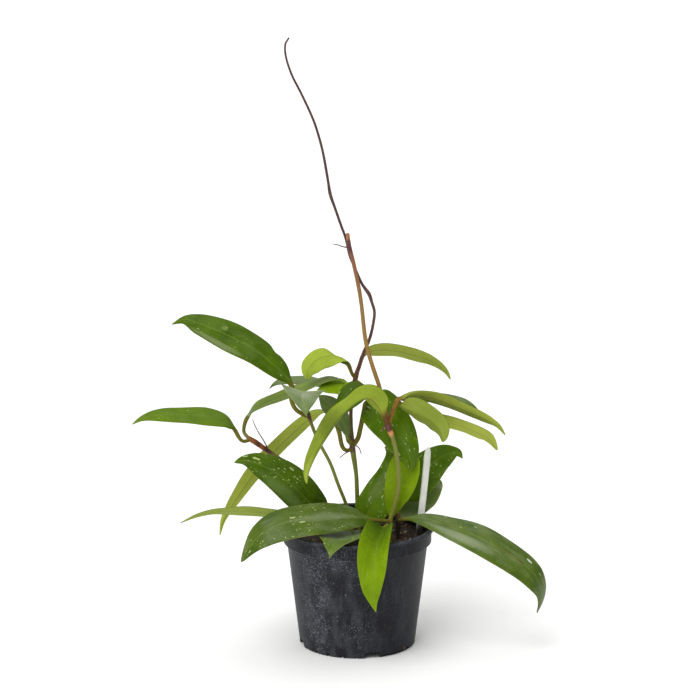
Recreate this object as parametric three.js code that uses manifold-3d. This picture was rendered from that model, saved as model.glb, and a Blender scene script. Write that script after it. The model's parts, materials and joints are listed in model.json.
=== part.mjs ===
// A young wax plant (hoya) in a 12 cm black nursery pot, in millimetres, +Z up.
// The origin is on the pot's axis, on the surface that the pot's foot stands on.
// -Y is the front, the side that the plant is looked at from.
import * as THREE from 'three';
import { mergeVertices } from 'three/addons/utils/BufferGeometryUtils.js';
import Module from 'manifold-3d';

const wasm = await Module();
wasm.setup();

// ---------- driving dimensions ----------

const CLEARANCE = 0.3;

const POT = {
  height: 95,
  lipRadius: 60,
  lipHeight: 3,
  bandRadius: 57.8,
  bandHeight: 13,
  shoulderRadius: 55.2,
  footRadius: 45.2,
  footWidth: 3.2,
  wall: 1.4,
  floorUnderside: 2.2,
  floor: 2,
  segments: 40,
};
const FOOT_NOTCH = { count: 20, width: 2.3, height: 2.1, pitch: 0.253 };
const DRAIN = { count: 4, width: 12, height: 4.4, depth: 12, firstAngle: THREE.MathUtils.degToRad(-75) };

const SOIL = { level: 84, rings: 7, segments: 28, crumb: 1.5, seed: 7 };

const LABEL = {
  width: 10,
  thickness: 0.9,
  length: 90,
  taper: 14,
  shoulder: 7,
  turn: THREE.MathUtils.degToRad(61),
  foot: [44.2, 56, 3],
  head: [54.2, 148.3, 3],
};

const LEAF = {
  rib: 1.5,
  rim: 0.8,
  stalkStep: 7,
  // Share of the blade's length at each station, and of its half width across.
  stations: [0.03, 0.08, 0.15, 0.24, 0.35, 0.47, 0.6, 0.72, 0.82, 0.9, 0.96, 1],
  across: [-1, -0.5, 0, 0.5, 1],
  blend: 0.1,
};
const STEM = { sides: 6, step: 8 };
const ROOTLET = { radius: 0.45, step: 4 };

// The plant is laid out as it is seen from the front: a place is [across, up, back], where
// across and up are millimetres in the upright picture plane through the pot's axis, from the
// foot of the pot, and back is the depth behind the axis.
const SIGHT = { distance: 2400, pitch: THREE.MathUtils.degToRad(13.4), aim: [-5.8, 234.7] };

const MATERIALS = {
  pot: { color: 0x2b2d33, roughness: 0.55, metalness: 0 },
  soil: { color: 0x3a2a1d, roughness: 0.95, metalness: 0 },
  label: { color: 0xe8ebe6, roughness: 0.4, metalness: 0 },
  stem: { color: 0x6b5a2a, roughness: 0.6, metalness: 0 },
  darkLeaf: { color: 0x2f5a14, roughness: 0.35, metalness: 0 },
  youngLeaf: { color: 0x86b32a, roughness: 0.45, metalness: 0 },
};

// ---------- the plant's layout ----------

// Each point of a stem is [across, up, back, radius]; a larger radius is a leaf joint.
const STEMS = {
  stem_middle: {
    points: [
      [3, 62, 18, 1.8], [2, 84, 18, 1.8], [0, 104, 16, 1.8], [-1, 127, 14, 1.7],
      [-4, 149, 12, 2.4], [-5, 165, 12, 1.6], [-5, 177, 11.5, 1.5], [-3.5, 189, 11, 1.5],
      [-1.5, 202, 10, 2.1], [1.5, 212, 8, 1.5], [5, 222, 5, 1.4], [9, 231, 2, 1.3],
      [12, 243, 0, 1.2], [13, 253, 0, 1.2], [11, 260, 0, 1.2], [9, 266, 0, 1.6],
      [3.5, 274, 2, 1.2], [-1, 284, 3, 1.1], [-6, 296, 3.5, 1.1], [-9, 309, 2.5, 1.1],
      [-13, 320, 1, 1.1], [-17.5, 333, 0, 1.1], [-21, 343, 0, 1.4], [-22.5, 352, 0, 1.1],
      [-24.5, 364, 0, 1], [-27.5, 379, 0, 0.95], [-33.5, 399, 0, 0.9], [-43, 420, 0, 0.85],
      [-51, 436, 0, 0.8], [-55.5, 451, 0, 0.75], [-55.5, 459, 0, 0.75], [-52.5, 464, 0, 0.6],
    ],
    rootlets: [[[-4, 146, 12], [-9, 144, 8], [-14, 140, 5]]],
  },
  stem_front: {
    points: [
      [25, 59, -12, 1.9], [25, 77, -12, 1.9], [25, 91, -14, 1.9], [28, 102, -15, 1.9],
      [31, 115, -17.5, 1.9], [31.5, 126, -19.5, 1.9], [30.5, 140, -21.5, 1.8], [27.5, 154, -22.5, 1.8],
      [23.5, 165, -22, 2.6], [20.5, 181, -20, 1.7], [16.5, 196, -17, 1.7], [11, 212.5, -12, 1.7],
      [6.5, 229, -7, 1.7], [3, 258, -3, 1.6], [1, 271, -2.5, 1.6], [-1.5, 283, -2, 1.6],
      [-4, 294, -1.5, 1.6], [-6.5, 303, -1, 1.9], [-7.7, 313.5, -1, 1.5],
    ],
    rootlets: [[[-6.5, 302, -1], [-12, 303, -4], [-16, 304.5, -6], [-19, 304.5, -7]]],
    sideShoot: [[23.5, 165, -22, 1.7], [26.5, 175, -17, 1.6], [29.5, 182, -11, 1.6], [31, 185.5, -6, 1.8]],
  },
  stem_left: {
    points: [
      [2, 62, 0, 1.4], [-2, 81, 1, 1.4], [-7.5, 101, -3, 1.4], [-15, 120, -8, 1.4],
      [-21, 136, -12, 1.4], [-30.5, 154, -16, 1.4], [-36.5, 169, -19, 1.5], [-38.5, 175, -20, 2.1],
    ],
    rootlets: [],
  },
  stem_far_left: {
    points: [
      [-22, 63, 12, 1.9], [-22, 83, 12, 1.9], [-27, 100, 18, 1.9], [-35, 114, 24, 1.8],
      [-43, 127.5, 26, 1.7], [-55, 136, 24, 1.7], [-66, 143.5, 20, 1.8], [-73, 148.3, 16, 2.1],
      [-79, 152.5, 13, 2.3], [-85, 156, 11, 2],
    ],
    rootlets: [[[-69, 147, 18], [-72, 153, 13], [-75.5, 158.5, 12], [-79, 165, 10], [-81, 170, 9]]],
  },
  stem_stub: {
    points: [[31, 63, -1, 1.8], [31, 78, -1, 1.8], [31.2, 92, -1, 1.9], [30.6, 102, 0, 1.6]],
    rootlets: [],
  },
};

// A leaf runs from its stem along a stalk and then along the midrib of its blade to the tip.
// face is where the upper side looks at mid-blade, and half is the blade's half width there.
// twist turns it further (degrees) and fold lifts both halves like a V, each at the base and at
// the tip. curl bends the rims down. rise and fall draw out the base and the tip of the
// outline, drip narrows the last fifth, sides widen the left and the right half, and each dent
// is a dip in the outline: [share along, side, depth, length]. thick is the stalk's radius.
const LEAF_HABIT = {
  twist: [0, 0], fold: [0.1, 0.1], curl: -0.1, rise: 0.5, fall: 0.75, drip: 0.3,
  sides: [1, 1], dents: [], thick: 1.4,
};
const LEAVES = {
  leaf_upper_left: {
    on: 'stem_left', half: 14.5, face: [0.15, -0.62, 0.77],
    fold: [0.12, 0.12], rise: 0.72, fall: 0.72, drip: 0.5, thick: 1.7, dents: [[0.3, 1, 0.12, 0.025], [0.52, 1, 0.05, 0.05]],
    stalk: [[-37.5, 172, -19.5], [-42.5, 174, -22], [-48, 178, -25], [-51, 185, -27]],
    blade: [[-50.5, 195, -28], [-55, 202, -28], [-64, 211, -28], [-76, 221, -26], [-90, 229, -23],
      [-106, 237, -19], [-121, 243, -15.5], [-133, 246.5, -13], [-143, 243, -11]],
  },
  leaf_front_left: {
    on: 'stem_left', half: 15.5, face: [-0.02, -0.35, 0.93],
    fold: [0.5, 0.4], curl: 0, rise: 0.3, fall: 1,
    stalk: [[-38.5, 176, -20], [-38.5, 179, -26], [-40, 185, -30]],
    blade: [[-41, 188, -34], [-42, 190.5, -42], [-42.5, 190, -51], [-42, 186, -60], [-41, 180, -68],
      [-39.3, 172, -75]],
  },
  leaf_far_left: {
    on: 'stem_far_left', half: 13, face: [0, -0.33, 0.94],
    rise: 0.45,
    stalk: [[-83, 154, 11.5], [-88.5, 153, 8.5], [-92, 157, 8.5]],
    blade: [[-94, 161, 8.5], [-101, 168.5, 7], [-112, 171.5, 4], [-123.5, 172.5, 1], [-137, 173, -3],
      [-150, 173, -7], [-160, 172, -10], [-167, 170, -12], [-173.5, 166, -14]],
  },
  leaf_arching_left: {
    on: 'stem_far_left', half: 11.5, face: [0.2, -0.2, 0.95],
    fold: [0.25, 0.15], rise: 0.45,
    stalk: [[-84, 155.5, 11.5], [-87.5, 160, 15.5], [-87, 166, 15.5]],
    blade: [[-85, 171, 14], [-79, 178, 11], [-71, 182, 9], [-61, 186, 7], [-50.5, 190.5, 5],
      [-39.5, 194.5, 4], [-29.5, 198.5, 3], [-21, 201, 2], [-15, 200.5, 2], [-10, 197.5, 2]],
  },
  leaf_curled_top: {
    on: 'stem_middle', half: 8.5, face: [0.35, 0.75, -0.5], twist: [95, 0],
    fold: [0.3, 0.1], curl: 0, rise: 0.35, fall: 0.5,
    stalk: [[-2, 202, 10], [-4.2, 205, 8.5], [-5.6, 208.5, 7]],
    blade: [[-6.8, 211.5, 6], [-10.4, 215.8, 5], [-15.8, 218, 3.5], [-22, 218.5, 1], [-29, 216.6, -2],
      [-35, 212, -4.5], [-38.2, 206.5, -6], [-38.6, 200.5, -6]],
  },
  leaf_top_right: {
    on: 'stem_middle', half: 11.5, face: [0, 0.62, 0.78],
    rise: 0.25, fall: 0.62,
    stalk: [[-1.5, 203, 10], [1, 209, 12], [2.5, 214.5, 14]],
    blade: [[4.2, 219, 15.5], [9, 222.3, 16], [17.3, 223.5, 17], [25, 223.4, 18], [32.7, 222.5, 19],
      [40.4, 220.6, 19.5], [48.1, 218.3, 19.5], [55.8, 215.6, 19], [63.5, 211, 18], [68.9, 205.6, 17.5],
      [71.5, 200.5, 17]],
  },
  leaf_back_left: {
    on: 'stem_middle', half: 7, face: [0, -0.3, 0.95],
    stalk: [[-1.5, 199, 10], [-7, 197, 16], [-13, 195.5, 20]],
    blade: [[-18, 195, 22], [-28, 197.5, 24], [-38, 199.5, 25], [-48, 200, 24], [-57, 199.5, 22],
      [-64, 197, 20], [-68, 193.5, 19]],
  },
  leaf_inner_left: {
    on: 'stem_middle', half: 9.5, face: [-0.1, -0.5, 0.85],
    rise: 0.35,
    stalk: [[-2.5, 196, 10.5], [-4, 196.5, 6]],
    blade: [[-5.5, 196, 4], [-11.5, 195.5, 1.5], [-18, 195, 0], [-24.5, 194, -2], [-31, 192.5, -4]],
  },
  leaf_inner_front: {
    on: 'stem_middle', half: 11, face: [-0.35, -0.75, 0.5],
    fold: [0.05, 0.05], rise: 0.4,
    stalk: [[-1.5, 200, 10], [3, 196.5, 5], [7, 194, 0]],
    blade: [[9, 191.5, -4], [4, 193, -8], [-2, 191, -12], [-7, 186, -15], [-11.5, 179.5, -17],
      [-15, 171, -18]],
  },
  leaf_drooping_front: {
    on: 'stem_front', half: 11.5, face: [-0.45, 0.7, 0.5],
    fold: [0.8, 0.5], curl: 0, rise: 0.22, fall: 1, thick: 1.3, dents: [[0.32, 1, 0.25, 0.08], [0.32, -1, 0.25, 0.08]],
    stalk: [[23.5, 165, -22], [22.3, 167.5, -24.5], [21.3, 169.5, -26.5]],
    blade: [[20.4, 171.7, -28], [18.1, 176.3, -30], [14.2, 181.7, -32], [9.6, 186, -34], [5, 186, -35],
      [-0.4, 183.3, -36], [-7.3, 177.9, -37], [-15.8, 169.4, -38], [-23.5, 158.6, -39],
      [-30.4, 147, -39], [-35.8, 136.3, -38], [-38.7, 127.5, -37], [-39, 120, -36]],
  },
  leaf_right_long: {
    on: 'stem_front', half: 10, face: [0.1, 0.6, 0.75],
    fold: [0.15, 0.15], rise: 0.3, fall: 0.6, thick: 1.2,
    stalk: [[23.5, 165, -22], [26, 171, -22], [28.5, 178, -20]],
    blade: [[31, 184.5, -17], [35.5, 187.2, -15], [42.7, 188.2, -12], [48.1, 188.2, -11],
      [55.8, 187, -9.5], [63.5, 185, -8], [71.2, 182.2, -7], [78.9, 179, -6], [86.6, 175.7, -5],
      [94.3, 172.3, -4.5], [102, 168.5, -4], [107.4, 165.4, -4], [110.5, 162.2, -4], [113.8, 157.5, -4]],
  },
  leaf_right_behind: {
    on: 'stem_front', half: 7, face: [-0.1, -0.33, 0.94],
    rise: 0.4,
    stalk: [[31, 186, -6], [33, 186, -1]],
    blade: [[36, 185.5, 2], [42, 186, 5], [51, 186.3, 9], [62, 186.5, 13], [73, 186, 16],
      [83, 183.6, 18], [90, 179.4, 19], [95, 174, 19]],
  },
  leaf_right_middle: {
    on: 'stem_front', half: 14.5, face: [0.35, 0.75, 0.55],
    fold: [0.35, 0.2], curl: 0, fall: 0.6, thick: 1.2,
    stalk: [[30, 184, -8], [30.6, 182.5, -10]],
    blade: [[31.5, 181, -12], [36.6, 178.4, -14], [42.7, 175.7, -17], [48.1, 173.4, -19],
      [53.5, 170.7, -21], [58.1, 167.4, -22.5], [62.8, 162.7, -23.5], [65.1, 157.7, -24],
      [65.6, 152.2, -24]],
  },
  leaf_right_lower: {
    on: 'stem_front', half: 12, face: [0.25, 0.6, 0.75],
    rise: 0.6, fall: 0.52,
    stalk: [[31, 184, -7], [35, 181, -6]],
    blade: [[40, 178.5, -5], [50, 175, -4], [57, 172.3, -4], [64.3, 169.5, -4], [72.8, 167.2, -4],
      [78.9, 165.4, -4], [86.6, 162.7, -5], [94.3, 159.3, -5], [99.7, 156.6, -5], [103.6, 152.5, -5],
      [107.6, 146, -5]],
  },
  leaf_hanging_centre: {
    on: 'stem_middle', half: 18, face: [0.35, -0.85, 0.45],
    rise: 0.22, fall: 0.62, thick: 1.9,
    stalk: [[-3.6, 149.5, 12], [0.2, 155, 11.5], [2, 162, 9.5], [3.7, 170, 7], [5.2, 177, 5]],
    blade: [[7, 182.5, 3], [11.3, 183.5, -0.5], [17.2, 178, -3.5], [23.8, 169.8, -6], [30, 161.5, -8],
      [35, 152, -10.5], [39.5, 142.5, -13], [41.2, 136, -14.5], [41.4, 130, -15.5]],
  },
  leaf_inner_upright: {
    on: 'stem_middle', half: 9, face: [-0.5, -0.6, 0.6],
    curl: 0, rise: 1, fall: 0.55, thick: 1.6,
    stalk: [[-4, 151, 12], [-5.8, 152, 8.5]],
    blade: [[-7.3, 154.5, 7], [-8.8, 161.5, 6.5], [-11.5, 168.5, 5], [-15.8, 175.6, 3], [-20.4, 181, 1],
      [-25, 185.2, 0], [-29.3, 188.3, -1]],
  },
  leaf_trailing_left: {
    on: 'stem_middle', half: 10, face: [-0.4, 0.75, 0.55],
    fold: [0.15, 0.15], rise: 0.6, thick: 1.7,
    stalk: [[-4, 148.5, 12], [-7, 145.5, 10.5], [-10.8, 147, 10], [-12.8, 152.5, 10],
      [-13.8, 158.6, 11], [-15.5, 164.5, 13]],
    blade: [[-18, 170, 15.5], [-21.5, 174, 17], [-26, 176, 19], [-32, 175, 22], [-39, 169.5, 26],
      [-48.5, 161, 30], [-59, 151, 34], [-70, 140, 37], [-81, 127, 39], [-90.5, 113.5, 39],
      [-98, 102, 38], [-103.5, 92, 37], [-106, 80.5, 36]],
  },
  leaf_rear_left: {
    on: 'stem_far_left', half: 14.5, face: [-0.35, -0.75, 0.56],
    stalk: [[-25.5, 95.5, 16.3], [-22, 94.5, 11]],
    blade: [[-21.2, 95.5, 5], [-30.4, 100.5, 1], [-38.1, 107, -2], [-45.8, 115, -4.5],
      [-54.3, 122.7, -7], [-63.5, 129.2, -9], [-73.5, 134.4, -10], [-81.2, 137.4, -10],
      [-88.2, 138.4, -9], [-95, 136.5, -8]],
  },
  leaf_low_left: {
    on: 'stem_far_left', half: 11, face: [0, 0.56, 0.83],
    stalk: [[-24, 90, 14.5], [-31, 92, 11]],
    blade: [[-40, 93.5, 6], [-50.4, 94.7, 2], [-61.2, 96.6, -2], [-73.5, 98.2, -6], [-86.6, 99.3, -10],
      [-99.7, 99.3, -13], [-112, 98.6, -16], [-123, 95.9, -18], [-129.7, 93.2, -19], [-136.4, 90, -20]],
  },
  leaf_large_left: {
    on: 'stem_front', half: 16, face: [-0.1, -0.6, 0.8],
    fold: [0.1, 0.05], curl: -0.15, rise: 0.6, fall: 0.65,
    stalk: [[25, 92, -14], [21, 91.5, -18], [16.5, 91.8, -21.5]],
    blade: [[12, 92.3, -25], [5, 93.6, -29], [-4.2, 95, -33], [-17.3, 95, -37], [-31.2, 94, -41],
      [-44.3, 92.4, -44], [-56.6, 89.7, -47], [-67.4, 85.5, -49], [-75.8, 79.7, -50],
      [-82.8, 71.6, -51], [-89.7, 60, -51]],
  },
  leaf_over_rim: {
    on: 'stem_left', half: 20.5, face: [-0.1, -0.3, 0.95],
    fold: [0.18, 0.18], curl: 0, rise: 0.45, fall: 0.8, drip: 0.75, dents: [[0.76, 1, 0.25, 0.12], [0.76, -1, 0.25, 0.12]],
    stalk: [[-3.5, 86, 0], [-4, 85.5, -6], [-4.5, 84.5, -12]],
    blade: [[-5.5, 83.5, -18], [-7.5, 82, -27], [-10, 80, -36], [-13, 77.5, -45], [-16, 75.3, -55.5],
      [-19, 70.5, -65.5], [-21.7, 62.3, -74]],
  },
  leaf_hanging_front: {
    on: 'stem_front', half: 14.5, face: [-0.2, -0.8, 0.57],
    fold: [0.5, 0.2], curl: 0, rise: 0.3, fall: 0.8, sides: [1.1, 0.9],
    stalk: [[25, 84, -12], [24.5, 87, -20], [23, 88, -28]],
    blade: [[20.5, 86, -36], [19, 83, -45], [18.2, 78.5, -54], [17.2, 72, -61.5], [16, 62, -67],
      [15, 51, -70], [14, 39.5, -71.5], [13.6, 29.5, -72], [14.2, 21.3, -72.5]],
  },
  leaf_large_right: {
    on: 'stem_stub', half: 16.5, face: [0.3, -0.5, 0.8],
    fold: [0.1, 0.05], curl: -0.15, rise: 0.6, fall: 0.62,
    stalk: [[31, 92, -1], [32.5, 92.3, -5]],
    blade: [[34.3, 92.8, -9], [41, 93.6, -13], [47.4, 94, -17], [58, 92.4, -23], [70.5, 88.6, -28],
      [82.8, 84, -32], [95.9, 77.4, -35], [109, 70, -37], [120.5, 62.8, -38], [130.5, 55.4, -38],
      [138.2, 47, -38], [142, 38.5, -37], [141.7, 30, -36], [138.2, 20.8, -35]],
  },
  leaf_upright_left: {
    on: 'stem_middle', half: 14.5, face: [-0.25, -0.85, 0.45],
    rise: 0.3, fall: 0.7,
    stalk: [[1, 92, 17], [2, 90.5, 12], [2.7, 89.5, 8]],
    blade: [[3.5, 90.5, 4], [8.9, 98.6, 2], [15, 107.8, 1], [20.4, 117, 1], [24.3, 125.5, 2],
      [26.2, 133.2, 4], [26.2, 140.1, 6], [24.3, 145.5, 7], [20.8, 149, 8]],
  },
  leaf_upright_young: {
    on: 'stem_front', half: 12.8, face: [-0.1, -0.9, 0.4],
    curl: 0, rise: 1, fall: 0.65, drip: 0,
    stalk: [[25, 82, -12], [25.4, 87, -9.5]],
    blade: [[25.8, 91.6, -8], [26.6, 98.6, -8], [28.9, 107.8, -8.5], [32, 117, -8.5], [35, 127, -8],
      [37.3, 137, -7], [38.9, 146.3, -6], [39.7, 151.5, -5]],
  },
  leaf_upright_right: {
    on: 'stem_stub', half: 16.5, face: [-0.35, -0.8, 0.5],
    rise: 0.45, fall: 0.85,
    stalk: [[30.8, 100, 0], [31.5, 103, 8]],
    blade: [[33, 107, 14], [38, 114, 19], [44.3, 122.4, 24], [51.2, 130, 28], [58.1, 136.3, 30],
      [65, 140.9, 31], [72, 143.6, 31], [77.4, 144, 30], [81, 139.5, 29]],
  },
  leaf_upright_rear: {
    on: 'stem_stub', half: 13.5, face: [-0.35, -0.75, 0.55],
    curl: 0,
    stalk: [[31, 86, -1], [31.7, 89.5, 3]],
    blade: [[32.5, 93, 7], [37.3, 98.5, 13], [43, 104, 19], [49, 109.5, 25], [54, 114.5, 29.5],
      [58.5, 119, 33], [62, 120.5, 35], [64, 118, 35], [64.3, 114, 35]],
  },
};
const YOUNG_LEAVES = [
  'leaf_curled_top', 'leaf_top_right', 'leaf_drooping_front', 'leaf_right_long',
  'leaf_right_middle', 'leaf_right_lower', 'leaf_trailing_left', 'leaf_low_left',
  'leaf_hanging_front', 'leaf_upright_young',
];

// ---------- shape helpers ----------

function pointOf([across, up, back]) {
  const { distance, pitch, aim: [aimX, aimZ] } = SIGHT;
  const run = distance * Math.cos(pitch);
  const drop = distance * Math.sin(pitch);
  const footUp = -aimZ * Math.cos(pitch) * distance / (distance + aimZ * Math.sin(pitch));
  const rise = up + footUp;
  const reach = (back + run) / (run + rise * Math.sin(pitch));
  return new THREE.Vector3(
    aimX + reach * (across - aimX),
    back,
    aimZ + drop + reach * (rise * Math.cos(pitch) - drop),
  );
}

function seededNoise(seed) {
  let state = seed;
  return () => {
    state = (state * 16807) % 2147483647;
    return state / 2147483647;
  };
}

function smoothStep(value) {
  const t = THREE.MathUtils.clamp(value, 0, 1);
  return t * t * (3 - 2 * t);
}

/** A closed skin over rings of equally many points, with a fan at each end. */
function loft(rings) {
  const count = rings[0].length;
  const positions = rings.flat().flatMap((point) => point.toArray());
  const indices = [];
  for (let i = 0; i + 1 < rings.length; i += 1) {
    for (let j = 0; j < count; j += 1) {
      const k = (j + 1) % count;
      const [a, b, c, d] = [i * count + j, i * count + k, (i + 1) * count + k, (i + 1) * count + j];
      indices.push(a, b, c, a, c, d);
    }
  }
  [0, rings.length - 1].forEach((end) => {
    const middle = new THREE.Vector3();
    rings[end].forEach((point) => middle.addScaledVector(point, 1 / count));
    const hub = positions.length / 3;
    positions.push(...middle.toArray());
    for (let j = 0; j < count; j += 1) {
      const [a, b] = [end * count + j, end * count + (j + 1) % count];
      indices.push(hub, ...(end === 0 ? [b, a] : [a, b]));
    }
  });
  const geometry = new THREE.BufferGeometry();
  geometry.setAttribute('position', new THREE.Float32BufferAttribute(positions, 3));
  geometry.setIndex(indices);
  return geometry;
}

function solidOf(geometry) {
  const bare = geometry.clone();
  bare.deleteAttribute('normal');
  bare.deleteAttribute('uv');
  const merged = mergeVertices(bare, 1e-4);
  return new wasm.Manifold(new wasm.Mesh({
    numProp: 3,
    vertProperties: new Float32Array(merged.attributes.position.array),
    triVerts: new Uint32Array(merged.index.array),
  }));
}

function geometryOf(solid) {
  const { vertProperties, triVerts } = solid.getMesh();
  const geometry = new THREE.BufferGeometry();
  geometry.setAttribute('position', new THREE.BufferAttribute(new Float32Array(vertProperties), 3));
  geometry.setIndex(new THREE.BufferAttribute(new Uint32Array(triVerts), 1));
  return geometry;
}

/** A cut may leave a sliver beside the piece: the largest body is the piece. */
function largestBody(solid) {
  const bodies = solid.decompose();
  return bodies.reduce((best, body) => (body.volume() > best.volume() ? body : best));
}

/** Unit normals along a curve that turn with it as little as they can, from one given facing. */
function carriedNormals(curve, face, pivot, steps) {
  const tangents = Array.from({ length: steps + 1 }, (_, i) => curve.getTangentAt(i / steps));
  const flatten = (vector, tangent) => vector.clone().addScaledVector(tangent, -vector.dot(tangent)).normalize();
  const normals = [];
  const start = Math.round(pivot * steps);
  normals[start] = flatten(face, tangents[start]);
  for (let i = start + 1; i <= steps; i += 1) normals[i] = flatten(normals[i - 1], tangents[i]);
  for (let i = start - 1; i >= 0; i -= 1) normals[i] = flatten(normals[i + 1], tangents[i]);
  return { tangents, normals };
}

// ---------- stems ----------

function tube(points, radii, sides, step) {
  const curve = new THREE.CatmullRomCurve3(points, false, 'centripetal');
  const steps = Math.max(3, Math.round(curve.getLength() / step));
  const lengths = curve.getLengths(points.length * 20);
  const total = lengths[lengths.length - 1];
  const knotShares = points.map((_, i) => lengths[Math.round(i * (lengths.length - 1) / (points.length - 1))] / total);
  const radiusAt = (share) => {
    const next = Math.max(1, knotShares.findIndex((knot) => knot >= share - 1e-9));
    const mix = (share - knotShares[next - 1]) / (knotShares[next] - knotShares[next - 1]);
    return THREE.MathUtils.lerp(radii[next - 1], radii[next], mix);
  };
  // Rings lie at even steps and at every swollen point.
  const swollen = knotShares.filter((_, i) => i > 0 && i < radii.length - 1
    && radii[i] > radii[i - 1] + 0.25);
  const even = Array.from({ length: steps + 1 }, (_, i) => i / steps)
    .filter((share) => swollen.every((knot) => Math.abs(knot - share) > 0.4 / steps));
  const shares = [...even, ...swollen].sort((a, b) => a - b);
  const fine = 200;
  const { normals } = carriedNormals(curve, new THREE.Vector3(0, -1, 0), 0, fine);
  const rings = shares.map((share) => {
    const centre = curve.getPointAt(share);
    const tangent = curve.getTangentAt(share);
    const normal = normals[Math.round(share * fine)];
    const side = normal.clone().cross(tangent).normalize();
    return Array.from({ length: sides }, (_, j) => {
      const angle = (2 * Math.PI * j) / sides;
      return centre.clone()
        .addScaledVector(side, radiusAt(share) * Math.cos(angle))
        .addScaledVector(normal, radiusAt(share) * Math.sin(angle));
    });
  });
  return solidOf(loft(rings));
}

function stemSolid({ points, rootlets, sideShoot }, extra = 0) {
  const branch = (list) => tube(list.map(pointOf), list.map((point) => point[3] + extra), STEM.sides, STEM.step);
  let solid = branch(points);
  if (sideShoot) solid = solid.add(branch(sideShoot));
  rootlets.forEach((list) => {
    const radii = list.map((_, i) => (ROOTLET.radius + extra) * (i + 1 < list.length ? 1 : 0.6));
    solid = solid.add(tube(list.map(pointOf), radii, 5, ROOTLET.step));
  });
  return solid;
}

// ---------- leaves ----------

/** Half width of a blade along its length on one side, 1 at the widest. */
function bladeOutline({ rise, fall, drip, dents }, share, u) {
  const peak = rise / (rise + fall);
  const swell = (s) => s ** rise * (1 - s) ** fall;
  let width = swell(share) / swell(peak);
  width *= 1 - drip * smoothStep((share - 0.78) / 0.2);
  dents.forEach(([place, side, depth, length]) => {
    width *= 1 - depth * Math.exp(-(((share - place) / length) ** 2)) * smoothStep(u * side);
  });
  return width;
}

function leafSolid(spec) {
  const { half, face, twist, fold, curl, sides, thick, stalk, blade } = { ...LEAF_HABIT, ...spec };
  const points = [...stalk, ...blade].map(pointOf);
  const curve = new THREE.CatmullRomCurve3(points, false, 'centripetal');
  const lengths = curve.getLengths((points.length - 1) * 20);
  const total = lengths[lengths.length - 1];
  const neck = lengths[stalk.length * 20] / total;
  const fine = 200;
  const middle = 0.45;
  const pivot = neck + (1 - neck) * middle;
  const { normals } = carriedNormals(curve, new THREE.Vector3(...face), pivot, fine);

  const stalkRings = Math.max(2, Math.round((neck * total) / LEAF.stalkStep));
  const shares = [
    ...Array.from({ length: stalkRings }, (_, i) => (neck * i) / stalkRings),
    neck,
    ...LEAF.stations.map((s) => neck + (1 - neck) * s),
  ];
  const rings = shares.map((share) => {
    const s = (share - neck) / (1 - neck);
    const centre = curve.getPointAt(Math.min(share, 1));
    const tangent = curve.getTangentAt(Math.min(share, 1));
    const along = THREE.MathUtils.clamp(s, 0, 1);
    const turn = along < middle
      ? twist[0] * (1 - along / middle) ** 1.4
      : twist[1] * (along - middle) / (1 - middle);
    const normal = normals[Math.round(Math.min(share, 1) * fine)].clone()
      .applyAxisAngle(tangent, THREE.MathUtils.degToRad(turn));
    const side = normal.clone().cross(tangent).normalize();
    const slope = Math.atan(THREE.MathUtils.lerp(...fold, smoothStep((along - 0.1) / 0.6)));
    const flat = smoothStep(s / LEAF.blend);
    const place = (x, h) => centre.clone().addScaledVector(side, x).addScaledVector(normal, h);
    const ringPoint = (u, sign, angle) => {
      const reach = half * THREE.MathUtils.lerp(...sides, smoothStep(u + 0.5));
      const width = Math.max(reach * bladeOutline({ ...LEAF_HABIT, ...spec }, along, u), LEAF.rim / 2);
      const lift = width * (Math.sin(slope) * Math.abs(u) + curl * u * u);
      const core = THREE.MathUtils.lerp(LEAF.rib, LEAF.rim, Math.abs(u)) / 2;
      const round = [thick * Math.cos(angle), thick * Math.sin(angle)];
      return place(
        THREE.MathUtils.lerp(round[0], width * u * Math.cos(slope), flat),
        THREE.MathUtils.lerp(round[1], lift + sign * core, flat),
      );
    };
    const count = LEAF.across.length;
    const step = Math.PI / count;
    const top = LEAF.across.map((u, i) => ringPoint(-u, 1, step * (i + 0.5)));
    const under = LEAF.across.map((u, i) => ringPoint(u, -1, Math.PI + step * (i + 0.5)));
    return [...top, ...under];
  });
  return solidOf(loft(rings));
}

// ---------- pot, soil and label ----------

function potWallRadius(z) {
  const shoulder = POT.height - POT.bandHeight;
  return POT.footRadius + (POT.shoulderRadius - POT.footRadius) * (z / shoulder);
}

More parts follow.
